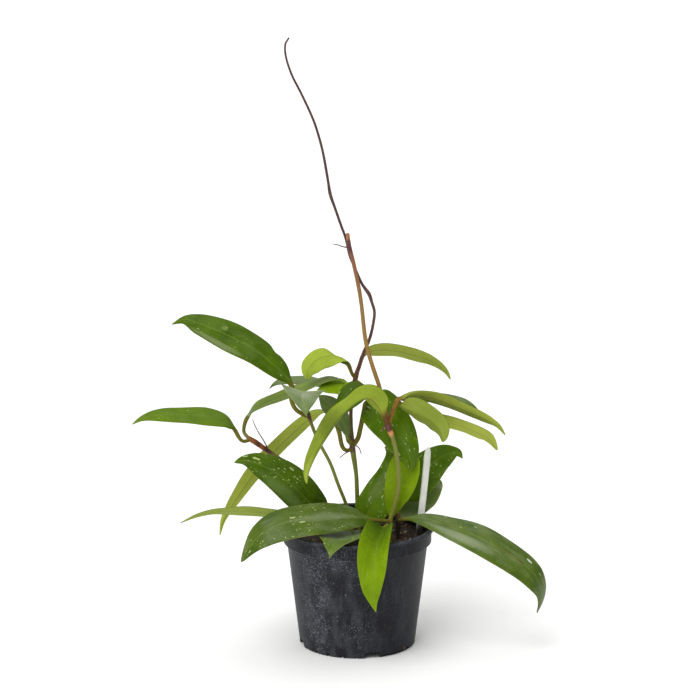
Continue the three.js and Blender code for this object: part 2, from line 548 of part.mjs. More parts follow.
function potSolid() {
  const top = POT.height;
  const lip = top - POT.lipHeight;
  const shoulder = top - POT.bandHeight;
  const floorTop = POT.floorUnderside + POT.floor;
  const profile = [
    [0, POT.floorUnderside],
    [POT.footRadius - POT.footWidth, POT.floorUnderside],
    [POT.footRadius - POT.footWidth + 0.4, 0],
    [POT.footRadius - 0.5, 0],
    [POT.footRadius, 0.6],
    [potWallRadius(shoulder) - 0.1, shoulder - 0.8],
    [POT.bandRadius - 0.5, shoulder],
    [POT.bandRadius, shoulder + 0.6],
    [POT.bandRadius, lip],
    [POT.lipRadius - 0.4, lip],
    [POT.lipRadius, lip + 0.5],
    [POT.lipRadius, top - 0.6],
    [POT.lipRadius - 0.7, top],
    [POT.bandRadius - POT.wall + 0.3, top],
    [POT.bandRadius - POT.wall - 0.2, lip],
    [POT.bandRadius - POT.wall - 0.4, shoulder + 1],
    [potWallRadius(shoulder) - POT.wall, shoulder - 1.5],
    [potWallRadius(floorTop) - POT.wall, floorTop + 1.5],
    [potWallRadius(floorTop) - POT.wall - 1.5, floorTop],
    [0, floorTop],
  ].map(([r, z]) => new THREE.Vector2(r, z));
  const shell = new THREE.LatheGeometry(profile, POT.segments);
  shell.rotateX(Math.PI / 2);
  let solid = solidOf(shell);
  const cut = (width, depth, height, angle) => {
    const box = new THREE.BoxGeometry(depth, width, height + 1);
    box.translate(POT.footRadius + 1 - depth / 2, 0, (height - 1) / 2);
    box.rotateZ(angle);
    solid = solid.subtract(solidOf(box));
  };
  for (let i = 0; i < DRAIN.count; i += 1) {
    cut(DRAIN.width, DRAIN.depth, DRAIN.height, DRAIN.firstAngle + (2 * Math.PI * i) / DRAIN.count);
  }
  for (let i = 0; i < FOOT_NOTCH.count; i += 1) {
    const perDrain = FOOT_NOTCH.count / DRAIN.count;
    const inGroup = (i % perDrain) - (perDrain - 1) / 2;
    const centre = DRAIN.firstAngle + (2 * Math.PI * (Math.floor(i / perDrain) + 0.5)) / DRAIN.count;
    cut(FOOT_NOTCH.width, POT.footWidth + 2, FOOT_NOTCH.height, centre + inGroup * FOOT_NOTCH.pitch);
  }
  return solid;
}

function soilRadius(z) {
  return Math.min(potWallRadius(z), POT.shoulderRadius) - POT.wall - CLEARANCE - 0.15;
}

/** A plug of potting mix whose top is uneven with bark crumbs. */
function soilBlank() {
  const random = seededNoise(SOIL.seed);
  const base = POT.floorUnderside + POT.floor + CLEARANCE;
  const shoulder = POT.height - POT.bandHeight - 2;
  const side = [base, base + 2, shoulder].map((z, i) => [soilRadius(z) - (i === 0 ? 2 : 0), z]);
  const rings = side.map(([r, z]) => circle(r, () => z));
  for (let i = 0; i < SOIL.rings; i += 1) {
    const r = (soilRadius(shoulder) - 0.5) * (1 - i / SOIL.rings);
    rings.push(circle(r, () => SOIL.level + (i === 0 ? -1 : (random() * 2 - 1) * SOIL.crumb)));
  }
  return solidOf(loft(rings));
}

function circle(radius, height) {
  return Array.from({ length: SOIL.segments }, (_, j) => {
    const angle = (2 * Math.PI * j) / SOIL.segments;
    return new THREE.Vector3(radius * Math.cos(angle), radius * Math.sin(angle), height(j));
  });
}

/** A flat stake: pointed foot, rounded head, pushed into the soil with its edge to the front. */
function labelSolid(extra = 0) {
  const [half, length, shoulder] = [LABEL.width / 2 + extra, LABEL.length, LABEL.shoulder];
  const outline = new THREE.Shape();
  outline.moveTo(-half * 0.25, 0);
  outline.lineTo(half * 0.25, 0);
  outline.lineTo(half, LABEL.taper);
  outline.lineTo(half, length - shoulder);
  outline.quadraticCurveTo(half, length - 1, 0, length);
  outline.quadraticCurveTo(-half, length - 1, -half, length - shoulder);
  outline.lineTo(-half, LABEL.taper);
  const depth = LABEL.thickness + 2 * extra;
  const blade = new THREE.ExtrudeGeometry(outline, { depth, bevelEnabled: false, curveSegments: 5 });
  blade.translate(0, 0, -depth / 2);
  const foot = pointOf(LABEL.foot);
  const head = pointOf(LABEL.head);
  const up = head.clone().sub(foot).normalize();
  const across = new THREE.Vector3(Math.cos(LABEL.turn), Math.sin(LABEL.turn), 0);
  across.addScaledVector(up, -across.dot(up)).normalize();
  const out = across.clone().cross(up);
  const start = head.clone().addScaledVector(up, -length);
  blade.applyMatrix4(new THREE.Matrix4().makeBasis(across, up, out).setPosition(start));
  return solidOf(blade);
}

// ---------- assembly ----------

const plant = new THREE.Group();

function addPart(name, solid, look) {
  const mesh = new THREE.Mesh(geometryOf(solid), new THREE.MeshStandardMaterial(MATERIALS[look]));
  mesh.name = name;
  plant.add(mesh);
}

addPart('pot', potSolid(), 'pot');

const fatStems = Object.fromEntries(
  Object.entries(STEMS).map(([name, spec]) => [name, stemSolid(spec, CLEARANCE)]),
);
let soil = soilBlank();
Object.values(fatStems).forEach((hole) => { soil = soil.subtract(hole); });
addPart('soil', largestBody(soil.subtract(labelSolid(CLEARANCE))), 'soil');

addPart('label', labelSolid(), 'label');
Object.entries(STEMS).forEach(([name, spec]) => addPart(name, stemSolid(spec), 'stem'));
Object.entries(LEAVES).forEach(([name, spec]) => {
  const look = YOUNG_LEAVES.includes(name) ? 'youngLeaf' : 'darkLeaf';
  addPart(name, largestBody(leafSolid(spec).subtract(fatStems[spec.on])), look);
});

export default plant;
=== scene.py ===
"""A young wax plant (hoya) in a black nursery pot, dressed over its CAD frame.

Every leaf, stem and pot piece is laid out as it is seen from the front. A layout point is
(across, up, back): millimetres across and up in the upright picture plane through the pot's
axis, and the depth behind that axis. Sight turns such a point into metres in the frame.
"""

from __future__ import annotations

import json
import logging
import math
import random
from bisect import bisect_right
from dataclasses import dataclass, field
from enum import Enum
from typing import Callable, ClassVar, Sequence

import bpy
from mathutils import Euler, Matrix, Quaternion, Vector, noise

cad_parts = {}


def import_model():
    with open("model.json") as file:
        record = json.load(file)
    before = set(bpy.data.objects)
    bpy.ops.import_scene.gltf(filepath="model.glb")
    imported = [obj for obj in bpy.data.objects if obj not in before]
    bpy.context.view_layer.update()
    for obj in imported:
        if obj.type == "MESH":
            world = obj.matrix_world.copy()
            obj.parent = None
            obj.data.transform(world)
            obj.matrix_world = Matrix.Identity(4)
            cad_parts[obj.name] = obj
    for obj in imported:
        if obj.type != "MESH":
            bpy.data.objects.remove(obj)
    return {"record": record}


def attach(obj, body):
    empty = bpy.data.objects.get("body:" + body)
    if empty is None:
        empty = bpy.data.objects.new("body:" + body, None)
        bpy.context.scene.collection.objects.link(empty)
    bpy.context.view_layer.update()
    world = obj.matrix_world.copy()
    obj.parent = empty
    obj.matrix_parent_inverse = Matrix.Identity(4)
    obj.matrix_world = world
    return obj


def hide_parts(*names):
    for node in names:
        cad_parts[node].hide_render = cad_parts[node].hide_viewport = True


LOG = logging.getLogger("hoya")
MM = 0.001  # metres in a millimetre

Layout = tuple[float, float, float]
Girth = tuple[float, float, float, float]
Colour = tuple[float, float, float, float]
Piece = bpy.types.Object
Material = bpy.types.Material
Socket = bpy.types.NodeSocket


def tint(red: int, green: int, blue: int) -> Colour:
    """Turns a screen colour into a linear one.

    Args:
        red: Red from 0 to 255.
        green: Green from 0 to 255.
        blue: Blue from 0 to 255.

    Returns:
        The linear colour with full alpha.
    """
    linear = [
        c / 12.92 if c <= 0.04045 else ((c + 0.055) / 1.055) ** 2.4
        for c in (red / 255, green / 255, blue / 255)
    ]
    return (linear[0], linear[1], linear[2], 1.0)


def smooth_step(value: float) -> float:
    """Eases a value from 0 to 1."""
    t = min(max(value, 0.0), 1.0)
    return t * t * (3 - 2 * t)


def mix(a: float, b: float, share: float) -> float:
    """Gives the value that lies share of the way from a to b."""
    return a + (b - a) * share


# ---------- the line of sight and the curves along stems and midribs ----------


@dataclass(frozen=True)
class Sight:
    """The viewing line that the plant is laid out along.

    Attributes:
        distance: From the eye to the point looked at, in millimetres.
        pitch: How far the eye looks down, in radians.
        aim: Across and up of the point looked at, in millimetres.
        frame: Height of the square frame at that distance, in millimetres.
    """

    distance: float = 2400.0
    pitch: float = math.radians(13.4)
    aim: tuple[float, float] = (-5.8, 234.7)
    frame: float = 539.0

    def point(self, place: Sequence[float]) -> Vector:
        """Turns a layout point into a place in the frame.

        Args:
            place: Across, up and back, in millimetres.

        Returns:
            The place in metres.
        """
        across, up, back = place[0], place[1], place[2]
        cosine, sine = math.cos(self.pitch), math.sin(self.pitch)
        aim_x, aim_z = self.aim
        run, drop = self.distance * cosine, self.distance * sine
        rise = up - aim_z * cosine * self.distance / (self.distance + aim_z * sine)
        reach = (back + run) / (run + rise * sine)
        height = aim_z + drop + reach * (rise * cosine - drop)
        return Vector((aim_x + reach * (across - aim_x), back, height)) * MM

    def eye(self) -> Vector:
        """Gives the place of the eye.

        Returns:
            The place in metres.
        """
        back = -self.distance * math.cos(self.pitch)
        lift = self.aim[1] + self.distance * math.sin(self.pitch)
        return Vector((self.aim[0], back, lift)) * MM


SIGHT = Sight()


class Rib:
    """A smooth curve through points, walked by its arc length.

    Attributes:
        FINE: Steps between two given points.
        STEP: Share of the length to either side over which a direction is read.
        marks: Places along the curve.
        travel: Length travelled at each place.
        length: The whole length.
        knots: Share of the length at each given point.
    """

    FINE = 24
    STEP = 0.004

    def __init__(self, points: Sequence[Vector]) -> None:
        """Draws the curve.

        Args:
            points: The points that it passes through, in metres.
        """
        ends = [points[0] * 2 - points[1], *points, points[-1] * 2 - points[-2]]
        last = len(ends) - 3
        self.marks = [
            self._between(ends[i - 1 : i + 3], k / self.FINE)
            for i in range(1, last + 1)
            for k in range(self.FINE + (i == last))
        ]
        self.travel = [0.0]
        for a, b in zip(self.marks, self.marks[1:]):
            self.travel.append(self.travel[-1] + (b - a).length)
        self.length = self.travel[-1]
        self.knots = [self.travel[i * self.FINE] / self.length for i in range(len(points))]

    @staticmethod
    def _between(four: Sequence[Vector], t: float) -> Vector:
        """Gives a point between the middle two of four, on a centripetal curve.

        Args:
            four: Four points that follow each other.
            t: Share of the way from the second to the third.

        Returns:
            The point.
        """
        p0, p1, p2, p3 = four
        d0, d1, d2 = ((b - a).length ** 0.5 for a, b in zip(four, four[1:]))
        start = ((p1 - p0) / d0 - (p2 - p0) / (d0 + d1) + (p2 - p1) / d1) * d1
        end = ((p2 - p1) / d1 - (p3 - p1) / (d1 + d2) + (p3 - p2) / d2) * d1
        bend = (p2 - p1) * 3 - start * 2 - end
        turn = (p1 - p2) * 2 + start + end
        return p1 + start * t + bend * t * t + turn * t**3

    def at(self, share: float) -> Vector:
        """Gives a point on the curve.

        Args:
            share: Share of the length, from 0 to 1.

        Returns:
            The point.
        """
        goal = min(max(share, 0.0), 1.0) * self.length
        high = bisect_right(self.travel, goal, 1, len(self.travel) - 1)
        low = high - 1
        span = self.travel[high] - self.travel[low]
        return self.marks[low].lerp(self.marks[high], (goal - self.travel[low]) / span)

    def heading(self, share: float) -> Vector:
        """Gives the direction of travel at a share of the length."""
        before, after = max(share - self.STEP, 0), min(share + self.STEP, 1)
        return (self.at(after) - self.at(before)).normalized()

    def carried(self, face: Vector, pivot: float, steps: int = 200) -> list[Vector]:
        """Carries a facing along the curve with as little turning as it can.

        Args:
            face: The facing at the pivot.
            pivot: Share of the length where the facing is given.
            steps: How many steps the curve is walked in.

        Returns:
            One facing for each step, square to the curve.
        """
        headings = [self.heading(i / steps) for i in range(steps + 1)]

        def flat(vector: Vector, heading: Vector) -> Vector:
            """Turns a vector square to a heading."""
            return (vector - heading * vector.dot(heading)).normalized()

        start = round(pivot * steps)
        facings = [Vector()] * (steps + 1)
        facings[start] = flat(face, headings[start])
        for i in range(start + 1, steps + 1):
            facings[i] = flat(facings[i - 1], headings[i])
        for i in range(start - 1, -1, -1):
            facings[i] = flat(facings[i + 1], headings[i])
        return facings


# ---------- modelling by hand ----------


class Bench:
    """The few hand tools that every piece is modelled with.

    Attributes:
        WELD: Distance in metres below which two points are merged.
        SPREAD: Step of the number that tells copies apart, so that neighbours differ.
    """

    WELD = 2e-6
    SPREAD = 0.618034

    @staticmethod
    def clear() -> None:
        """Leaves edit mode and deselects everything."""
        if bpy.context.object and bpy.context.object.mode != "OBJECT":
            bpy.ops.object.mode_set(mode="OBJECT")
        bpy.ops.object.select_all(action="DESELECT")

    @classmethod
    def take(cls, piece: Piece) -> None:
        """Selects one piece alone and makes it the active one.

        Args:
            piece: The piece.
        """
        cls.clear()
        piece.select_set(True)
        bpy.context.view_layer.objects.active = piece

    @staticmethod
    def named(name: str) -> Piece:
        """Names the object that was just added, and its mesh.

        Args:
            name: The name.

        Returns:
            The object.
        """
        piece = bpy.context.object
        piece.name = piece.data.name = name
        return piece

    @classmethod
    def sheet(cls, name: str, around: int, along: int) -> Piece:
        """Adds a flat grid, two wide and two high, to be rolled or bent.

        Args:
            name: The piece's name.
            around: Cells across the sheet.
            along: Cells along the sheet.

        Returns:
            The sheet.
        """
        cls.clear()
        bpy.ops.mesh.primitive_grid_add(x_subdivisions=around, y_subdivisions=along, size=2)
        return cls.named(name)

    @classmethod
    def roll(
        cls,
        name: str,
        around: int,
        along: int,
        place: Callable[[float, float], tuple[Vector, Vector, Vector]],
    ) -> Piece:
        """Rolls a sheet round a path into a closed skin, and notes where each point lies.

        Args:
            name: The piece's name.
            around: Cells round the path.
            along: Cells along the path.
            place: Gives a point's place and its two notes from its shares round and along.

        Returns:
            The skin, with the attributes lay and size, closed at its seam and ends.
        """
        piece = cls.sheet(name, around, along)
        lay = piece.data.attributes.new("lay", "FLOAT_VECTOR", "POINT")
        size = piece.data.attributes.new("size", "FLOAT_VECTOR", "POINT")
        for i, vertex in enumerate(piece.data.vertices):
            spot, lay_note, size_note = place((vertex.co.x + 1) / 2, (vertex.co.y + 1) / 2)
            vertex.co = spot
            lay.data[i].vector = lay_note
            size.data[i].vector = size_note
        cls.edit(piece)
        bpy.ops.mesh.remove_doubles(threshold=cls.WELD)
        bpy.ops.mesh.select_all(action="DESELECT")
        bpy.ops.mesh.select_non_manifold(extend=False)
        bpy.ops.mesh.fill_holes(sides=0)
        cls.outward()
        cls.done()
        return piece

    @classmethod
    def edit(cls, piece: Piece) -> None:
        """Opens a piece in edit mode with all of it selected.

        Args:
            piece: The piece.
        """
        cls.take(piece)
        bpy.ops.object.mode_set(mode="EDIT")
        bpy.ops.mesh.select_all(action="SELECT")

    @staticmethod
    def outward() -> None:
        """Turns every face of the open piece outwards."""
        bpy.ops.mesh.select_all(action="SELECT")
        bpy.ops.mesh.normals_make_consistent(inside=False)

    @staticmethod
    def done() -> None:
        """Closes edit mode."""
        bpy.ops.object.mode_set(mode="OBJECT")

    @classmethod
    def modify(cls, piece: Piece, kind: str, **settings: object) -> None:
        """Adds a modifier and applies it.

        Args:
            piece: The piece.
            kind: The modifier's type.
            settings: Its settings.
        """
        cls.take(piece)
        modifier = piece.modifiers.new(kind.lower(), kind)
        for key, value in settings.items():
            setattr(modifier, key, value)
        bpy.ops.object.modifier_apply(modifier=modifier.name)

    @classmethod
    def smooth(cls, piece: Piece, levels: int = 0, angle: float | None = None) -> None:
        """Rounds a piece with a subdivision surface and shades it smooth.

        Args:
            piece: The piece.
            levels: Levels of subdivision, or none.
            angle: Degrees past which an edge stays sharp, or none.
        """
        if levels:
            cls.modify(piece, "SUBSURF", levels=levels, render_levels=levels)
        cls.take(piece)
        if angle is None:
            bpy.ops.object.shade_smooth()
        else:
            bpy.ops.object.shade_smooth_by_angle(angle=math.radians(angle))

    @classmethod
    def settle(cls, piece: Piece) -> None:
        """Puts a piece's place, turn and size into its mesh."""
        cls.take(piece)
        bpy.ops.object.transform_apply(location=True, rotation=True, scale=True)

    @classmethod
    def copies(cls, name: str, pattern: Piece, places: Sequence[Matrix]) -> Piece:
        """Copies a small shape to many places and joins the copies.

        Args:
            name: The joined piece's name.
            pattern: The shape, which is used up.
            places: Where each copy goes.

        Returns:
            The joined piece, with the attribute pick, a number for each copy.
        """
        made = []
        for i, place in enumerate(places):
            copy = pattern.copy()
            copy.data = pattern.data.copy()
            copy.data.transform(place)
            pick = copy.data.attributes.new("pick", "FLOAT", "POINT")
            value = (i * cls.SPREAD) % 1
            pick.data.foreach_set("value", [value] * len(copy.data.vertices))
            bpy.context.scene.collection.objects.link(copy)
            made.append(copy)
        bpy.data.objects.remove(pattern)
        return cls.join(name, made)

    @classmethod
    def join(cls, name: str, parts: Sequence[Piece]) -> Piece:
        """Joins parts into the first of them and names it.

        Args:
            name: The joined piece's name.
            parts: The parts.

        Returns:
            The joined piece.
        """
        cls.clear()
        for part in parts:
            part.select_set(True)
        bpy.context.view_layer.objects.active = parts[0]
        if len(parts) > 1:
            bpy.ops.object.join()
        return cls.named(name)

    @staticmethod
    def dress(piece: Piece, *finishes: Material) -> None:
        """Gives a piece its finishes in place of any that it has.

        Args:
            piece: The piece.
            finishes: The finishes.
        """
        piece.data.materials.clear()
        for finish in finishes:
            piece.data.materials.append(finish)


# ---------- shader maths ----------


class Term:
    """A number inside a finish: expressions on it add the Math nodes."""

    def __init__(self, kit: FinishKit, socket: Socket) -> None:
        """Wraps a socket of a finish."""
        self.kit = kit
        self.socket = socket

    def _op(
        self, operation: str, *others: Term | float, first: Term | float | None = None
    ) -> Term:
        """Adds one Math node on this term and others.

        Args:
            operation: What the node does.
            others: The values that follow the first.
            first: The first value where that isn't this term.

        Returns:
            The node's result.
        """
        inputs = dict(enumerate([self if first is None else first, *others]))
        node = self.kit.node("ShaderNodeMath", {"operation": operation}, inputs)
        return Term(self.kit, node.outputs[0])

    def __add__(self, other: Term | float) -> Term:
        """Adds."""
        return self._op("ADD", other)

    __radd__ = __add__

    def __sub__(self, other: Term | float) -> Term:
        """Subtracts."""
        return self._op("SUBTRACT", other)

    def __rsub__(self, other: float) -> Term:
        """Subtracts from a number."""
        return self._op("SUBTRACT", self, first=other)

    def __mul__(self, other: Term | float) -> Term:
        """Multiplies."""
        return self._op("MULTIPLY", other)

    __rmul__ = __mul__

    def __truediv__(self, other: Term | float) -> Term:
        """Divides."""
        return self._op("DIVIDE", other)

    def __abs__(self) -> Term:
        """Drops the sign."""
        return self._op("ABSOLUTE")

    def lowest(self, other: Term | float) -> Term:
        """Keeps the lower of two."""
        return self._op("MINIMUM", other)

    def highest(self, other: Term | float) -> Term:
        """Keeps the higher of two."""
        return self._op("MAXIMUM", other)

    def clamped(self) -> Term:
        """Keeps the value from 0 to 1."""
        return self.highest(0.0).lowest(1.0)

    def ease(self, start: Term | float, end: Term | float) -> Term:
        """Eases from 0 at start to 1 at end.

        Args:
            start: Where the result is 0.
            end: Where the result is 1; it may lie below start.

        Returns:
            The eased value.
        """
        share = ((self - start) / (end - start)).clamped()
        return share * share * (3.0 - share * 2.0)


@dataclass(frozen=True)
class Wash:
    """A colour that is laid over a finish where a mask says.

    Attributes:
        colour: The colour.
        strength: How much it covers where the mask is full.
    """

    colour: Colour
    strength: float = 1.0


class FinishKit:
    """Builds one node-based finish.

    Attributes:
        MIX_SOCKETS: Places of the share and the two colours among a Mix node's inputs.
        MIX_RESULT: Place of the mixed colour among its outputs.
    """

    MIX_SOCKETS = (0, 6, 7)
    MIX_RESULT = 2

    def __init__(self, name: str) -> None:
        """Starts a finish with a bare surface shader.

        Args:
            name: Its name.
        """
        self.material = bpy.data.materials.new(name)
        self.material.use_nodes = True
        self.tree = self.material.node_tree
        self.surface = self.tree.nodes["Principled BSDF"]

    def node(
        self,
        kind: str,
        settings: dict[str, object] | None = None,
        values: dict[str | int, object] | None = None,
    ) -> bpy.types.Node:
        """Adds a node.

        Args:
            kind: Its type.
            settings: Its settings, set first.
            values: Values or links of its sockets, by name or place.

        Returns:
            The node.
        """
        node = self.tree.nodes.new(kind)
        for key, value in (settings or {}).items():
            setattr(node, key, value)
        for key, value in (values or {}).items():
            self.feed(node.inputs[key], value)
        return node

    def feed(self, socket: Socket, value: object) -> None:
        """Links or sets one input.

        Args:
            socket: The input.
            value: A term or an output to link, or a value to set.
        """
        source = value.socket if isinstance(value, Term) else value
        if isinstance(source, Socket):
            self.tree.links.new(source, socket)
        else:
            socket.default_value = source

    def note(self, name: str) -> Socket:
        """Reads a vector attribute of the piece."""
        return self.node("ShaderNodeAttribute", {"attribute_name": name}).outputs["Vector"]

    def pick(self) -> Term:
        """Reads the number that each copy of a small shape carries."""
        node = self.node("ShaderNodeAttribute", {"attribute_name": "pick"})
        return Term(self, node.outputs["Fac"])

    def spot(self) -> Socket:
        """Reads the place on the object, in metres."""
        return self.node("ShaderNodeTexCoord").outputs["Object"]

    def split(self, vector: Socket) -> tuple[Term, Term, Term]:
        """Splits a vector into its three numbers.

        Args:
            vector: The vector.

        Returns:
            The numbers.
        """
        node = self.node("ShaderNodeSeparateXYZ", None, {0: vector})
        x, y, z = (Term(self, output) for output in node.outputs)
        return x, y, z

    def stretch(self, vector: Socket, scale: tuple[float, float, float]) -> Socket:
        """Scales a vector along its three directions.

        Args:
            vector: The vector.
            scale: Its three factors.

        Returns:
            The scaled vector.
        """
        node = self.node("ShaderNodeVectorMath", {"operation": "MULTIPLY"}, {0: vector, 1: scale})
        return node.outputs[0]

    def cloud(
        self, vector: Socket, scale: float, detail: float = 2.0, rough: float = 0.5
    ) -> Term:
        """Gives soft noise from 0 to 1.

        Args:
            vector: Where it is read.
            scale: Features per unit.
            detail: Octaves.
            rough: How much the finer octaves count.

        Returns:
            The noise.
        """
        values = {"Vector": vector, "Scale": scale, "Detail": detail, "Roughness": rough}
        node = self.node("ShaderNodeTexNoise", {"noise_dimensions": "3D"}, values)
        return Term(self, node.outputs["Fac"])

    def cells(self, vector: Socket, scale: float) -> tuple[Term, Term]:
        """Gives scattered dots.

        Args:
            vector: Where they are read.
            scale: Dots per unit.

        Returns:
            The distance to the nearest dot, and a number that each dot carries.
        """
        settings = {"feature": "F1", "voronoi_dimensions": "3D"}
        node = self.node("ShaderNodeTexVoronoi", settings, {"Vector": vector, "Scale": scale})
        return Term(self, node.outputs["Distance"]), self.split(node.outputs["Color"])[0]

    def specks(
        self,
        vector: Socket,
        scale: float,
        bare: float,
        reach: Term | float,
        soft: float,
        ragged: Term | None = None,
    ) -> tuple[Term, Term]:
        """Scatters specks of mixed sizes.

        Args:
            vector: Where they are read.
            scale: Specks per unit.
            bare: Share of the specks that have no size at all.
            reach: How fast the others grow.
            soft: Width of a speck's edge.
            ragged: What makes the edges uneven.

        Returns:
            How much the specks cover, and a number that each one carries.
        """
        distance, pick = self.cells(vector, scale)
        size = (pick - bare).highest(0.0) * reach
        if ragged is not None:
            distance = distance + ragged
        return distance.ease(size, size - soft), pick

    def blend(self, share: Term | float, under: object, over: object) -> Socket:
        """Mixes two colours.

        Args:
            share: How much of the second shows.
            under: The first colour or a link to it.
            over: The second colour or a link to it.

        Returns:
            The mixed colour.
        """
        values = dict(zip(self.MIX_SOCKETS, (share, under, over)))
        node = self.node("ShaderNodeMix", {"data_type": "RGBA", "blend_type": "MIX"}, values)
        return node.outputs[self.MIX_RESULT]

    def wash(self, mask: Term, under: object, wash: Wash) -> Socket:
        """Lays a wash over a colour where a mask says.

        Args:
            mask: Where it shows, from 0 to 1.
            under: The colour under it.
            wash: The wash.

        Returns:
            The washed colour.
        """
        return self.blend(mask * wash.strength, under, wash.colour)

    def ramp(self, share: Term, stops: Sequence[tuple[float, Colour]]) -> Socket:
        """Reads a colour off a ramp.

        Args:
            share: Where on the ramp.
            stops: Places and colours.

        Returns:
            The colour.
        """
        node = self.node("ShaderNodeValToRGB")
        elements = node.color_ramp.elements
        while len(elements) < len(stops):
            elements.new(0.5)
        for element, (place, colour) in zip(elements, stops):
            element.position, element.color = place, colour
        self.feed(node.inputs[0], share)
        return node.outputs[0]

    def finish(
        self,
        colour: object,
        rough: Term | float,
        height: Term | None = None,
        depth: float = 0.0002,
        **fixed: object,
    ) -> Material:
        """Joins the pattern to the surface.

        Args:
            colour: The base colour.
            rough: The roughness.
            height: The relief, from 0 to 1.
            depth: How deep the relief is, in metres.
            fixed: Sockets that are the same all over, by name with _ for a space.

        Returns:
            The material.
        """
        self.feed(self.surface.inputs["Base Color"], colour)
        self.feed(self.surface.inputs["Roughness"], rough)
        if height is not None:
            values = {"Strength": 1.0, "Distance": depth, "Height": height}
            bump = self.node("ShaderNodeBump", None, values)
            self.feed(self.surface.inputs["Normal"], bump.outputs[0])
        for key, value in fixed.items():
            self.surface.inputs[key.replace("_", " ")].default_value = value
        return self.material


# ---------- leaves ----------


@dataclass(frozen=True)
class LeafLook:
    """What a leaf's two faces look like.

    Attributes:
        upper: Lit colour of the upper face.
        deep: Darker colour of the upper face.
        under: Colour of the underside.
        under_deep: Darker colour of the underside.
        fleck: How many silvery flecks it has, from 0 to 1.
        sheen: How much painted sheen, a painted highlight, lies on the upper face.
        rough: Roughness of the upper face.
        gloss: How much of its surroundings it mirrors.
        stalk: Colour of its stalk.
    """

    upper: Colour
    deep: Colour
    under: Colour = tint(148, 166, 66)
    under_deep: Colour = tint(118, 138, 48)
    fleck: float = 0.5
    sheen: float = 0.1
    rough: float = 0.4
    gloss: float = 0.04
    stalk: Colour = tint(128, 128, 48)


class Look(Enum):
    """The kinds of leaf on the plant; SHADED, UNDERLIT and SUNNY hold painted shade and painted
    light.
    """

    GLOSSY = LeafLook(
        tint(92, 116, 26), tint(62, 86, 12), fleck=0.4, sheen=0.5, gloss=0.5, rough=0.3
    )
    FLECKED = LeafLook(tint(78, 106, 10), tint(50, 76, 4), fleck=0.9)
    WAXY = LeafLook(
        tint(86, 106, 26), tint(52, 78, 10), fleck=0.85, sheen=0.3, gloss=0.18, rough=0.34
    )
    MEDIUM = LeafLook(tint(94, 122, 12), tint(76, 104, 8))
    # painted shade: duller colours for leaves that lie in shade
    SHADED = LeafLook(tint(92, 112, 42), tint(64, 86, 24), sheen=0.25, gloss=0.34)
    PALE = LeafLook(tint(122, 144, 42), tint(92, 118, 20), fleck=0.4, sheen=0.4, gloss=0.25)
    BRIGHT = LeafLook(tint(130, 160, 12), tint(98, 128, 8), sheen=0.0, stalk=tint(132, 146, 40))
    UNDERSIDE = LeafLook(
        tint(92, 118, 20), tint(62, 88, 10), tint(156, 172, 72), tint(132, 150, 52), fleck=0.4
    )
    # painted light: paler undersides that stand for light falling on and through them
    UNDERLIT = LeafLook(
        tint(96, 122, 20), tint(66, 92, 10), tint(186, 198, 86), tint(160, 174, 62), fleck=0.4
    )
    # painted light: a bright underside that stands for sunlight shining through the leaf
    SUNNY = LeafLook(
        tint(98, 124, 20), tint(70, 96, 10), tint(158, 176, 62), tint(132, 152, 44), fleck=0.4
    )


@dataclass(frozen=True)
class Mark:
    """A blemish, sheen or shadow on one face of a leaf.

    Attributes:
        along: Share of the blade's length where it lies.
        across: Share of the half width where it lies, to the right of the midrib.
        size: Half length along and half width across, in centimetres.
        colour: Its colour.
        strength: How much it covers.
        core: Share of its reach that it covers fully.
        under: Whether it lies on the lower face.
    """

    along: float
    across: float
    size: tuple[float, float]
    colour: Colour = tint(92, 66, 34)
    strength: float = 0.85
    core: float = 0.6
    under: bool = False


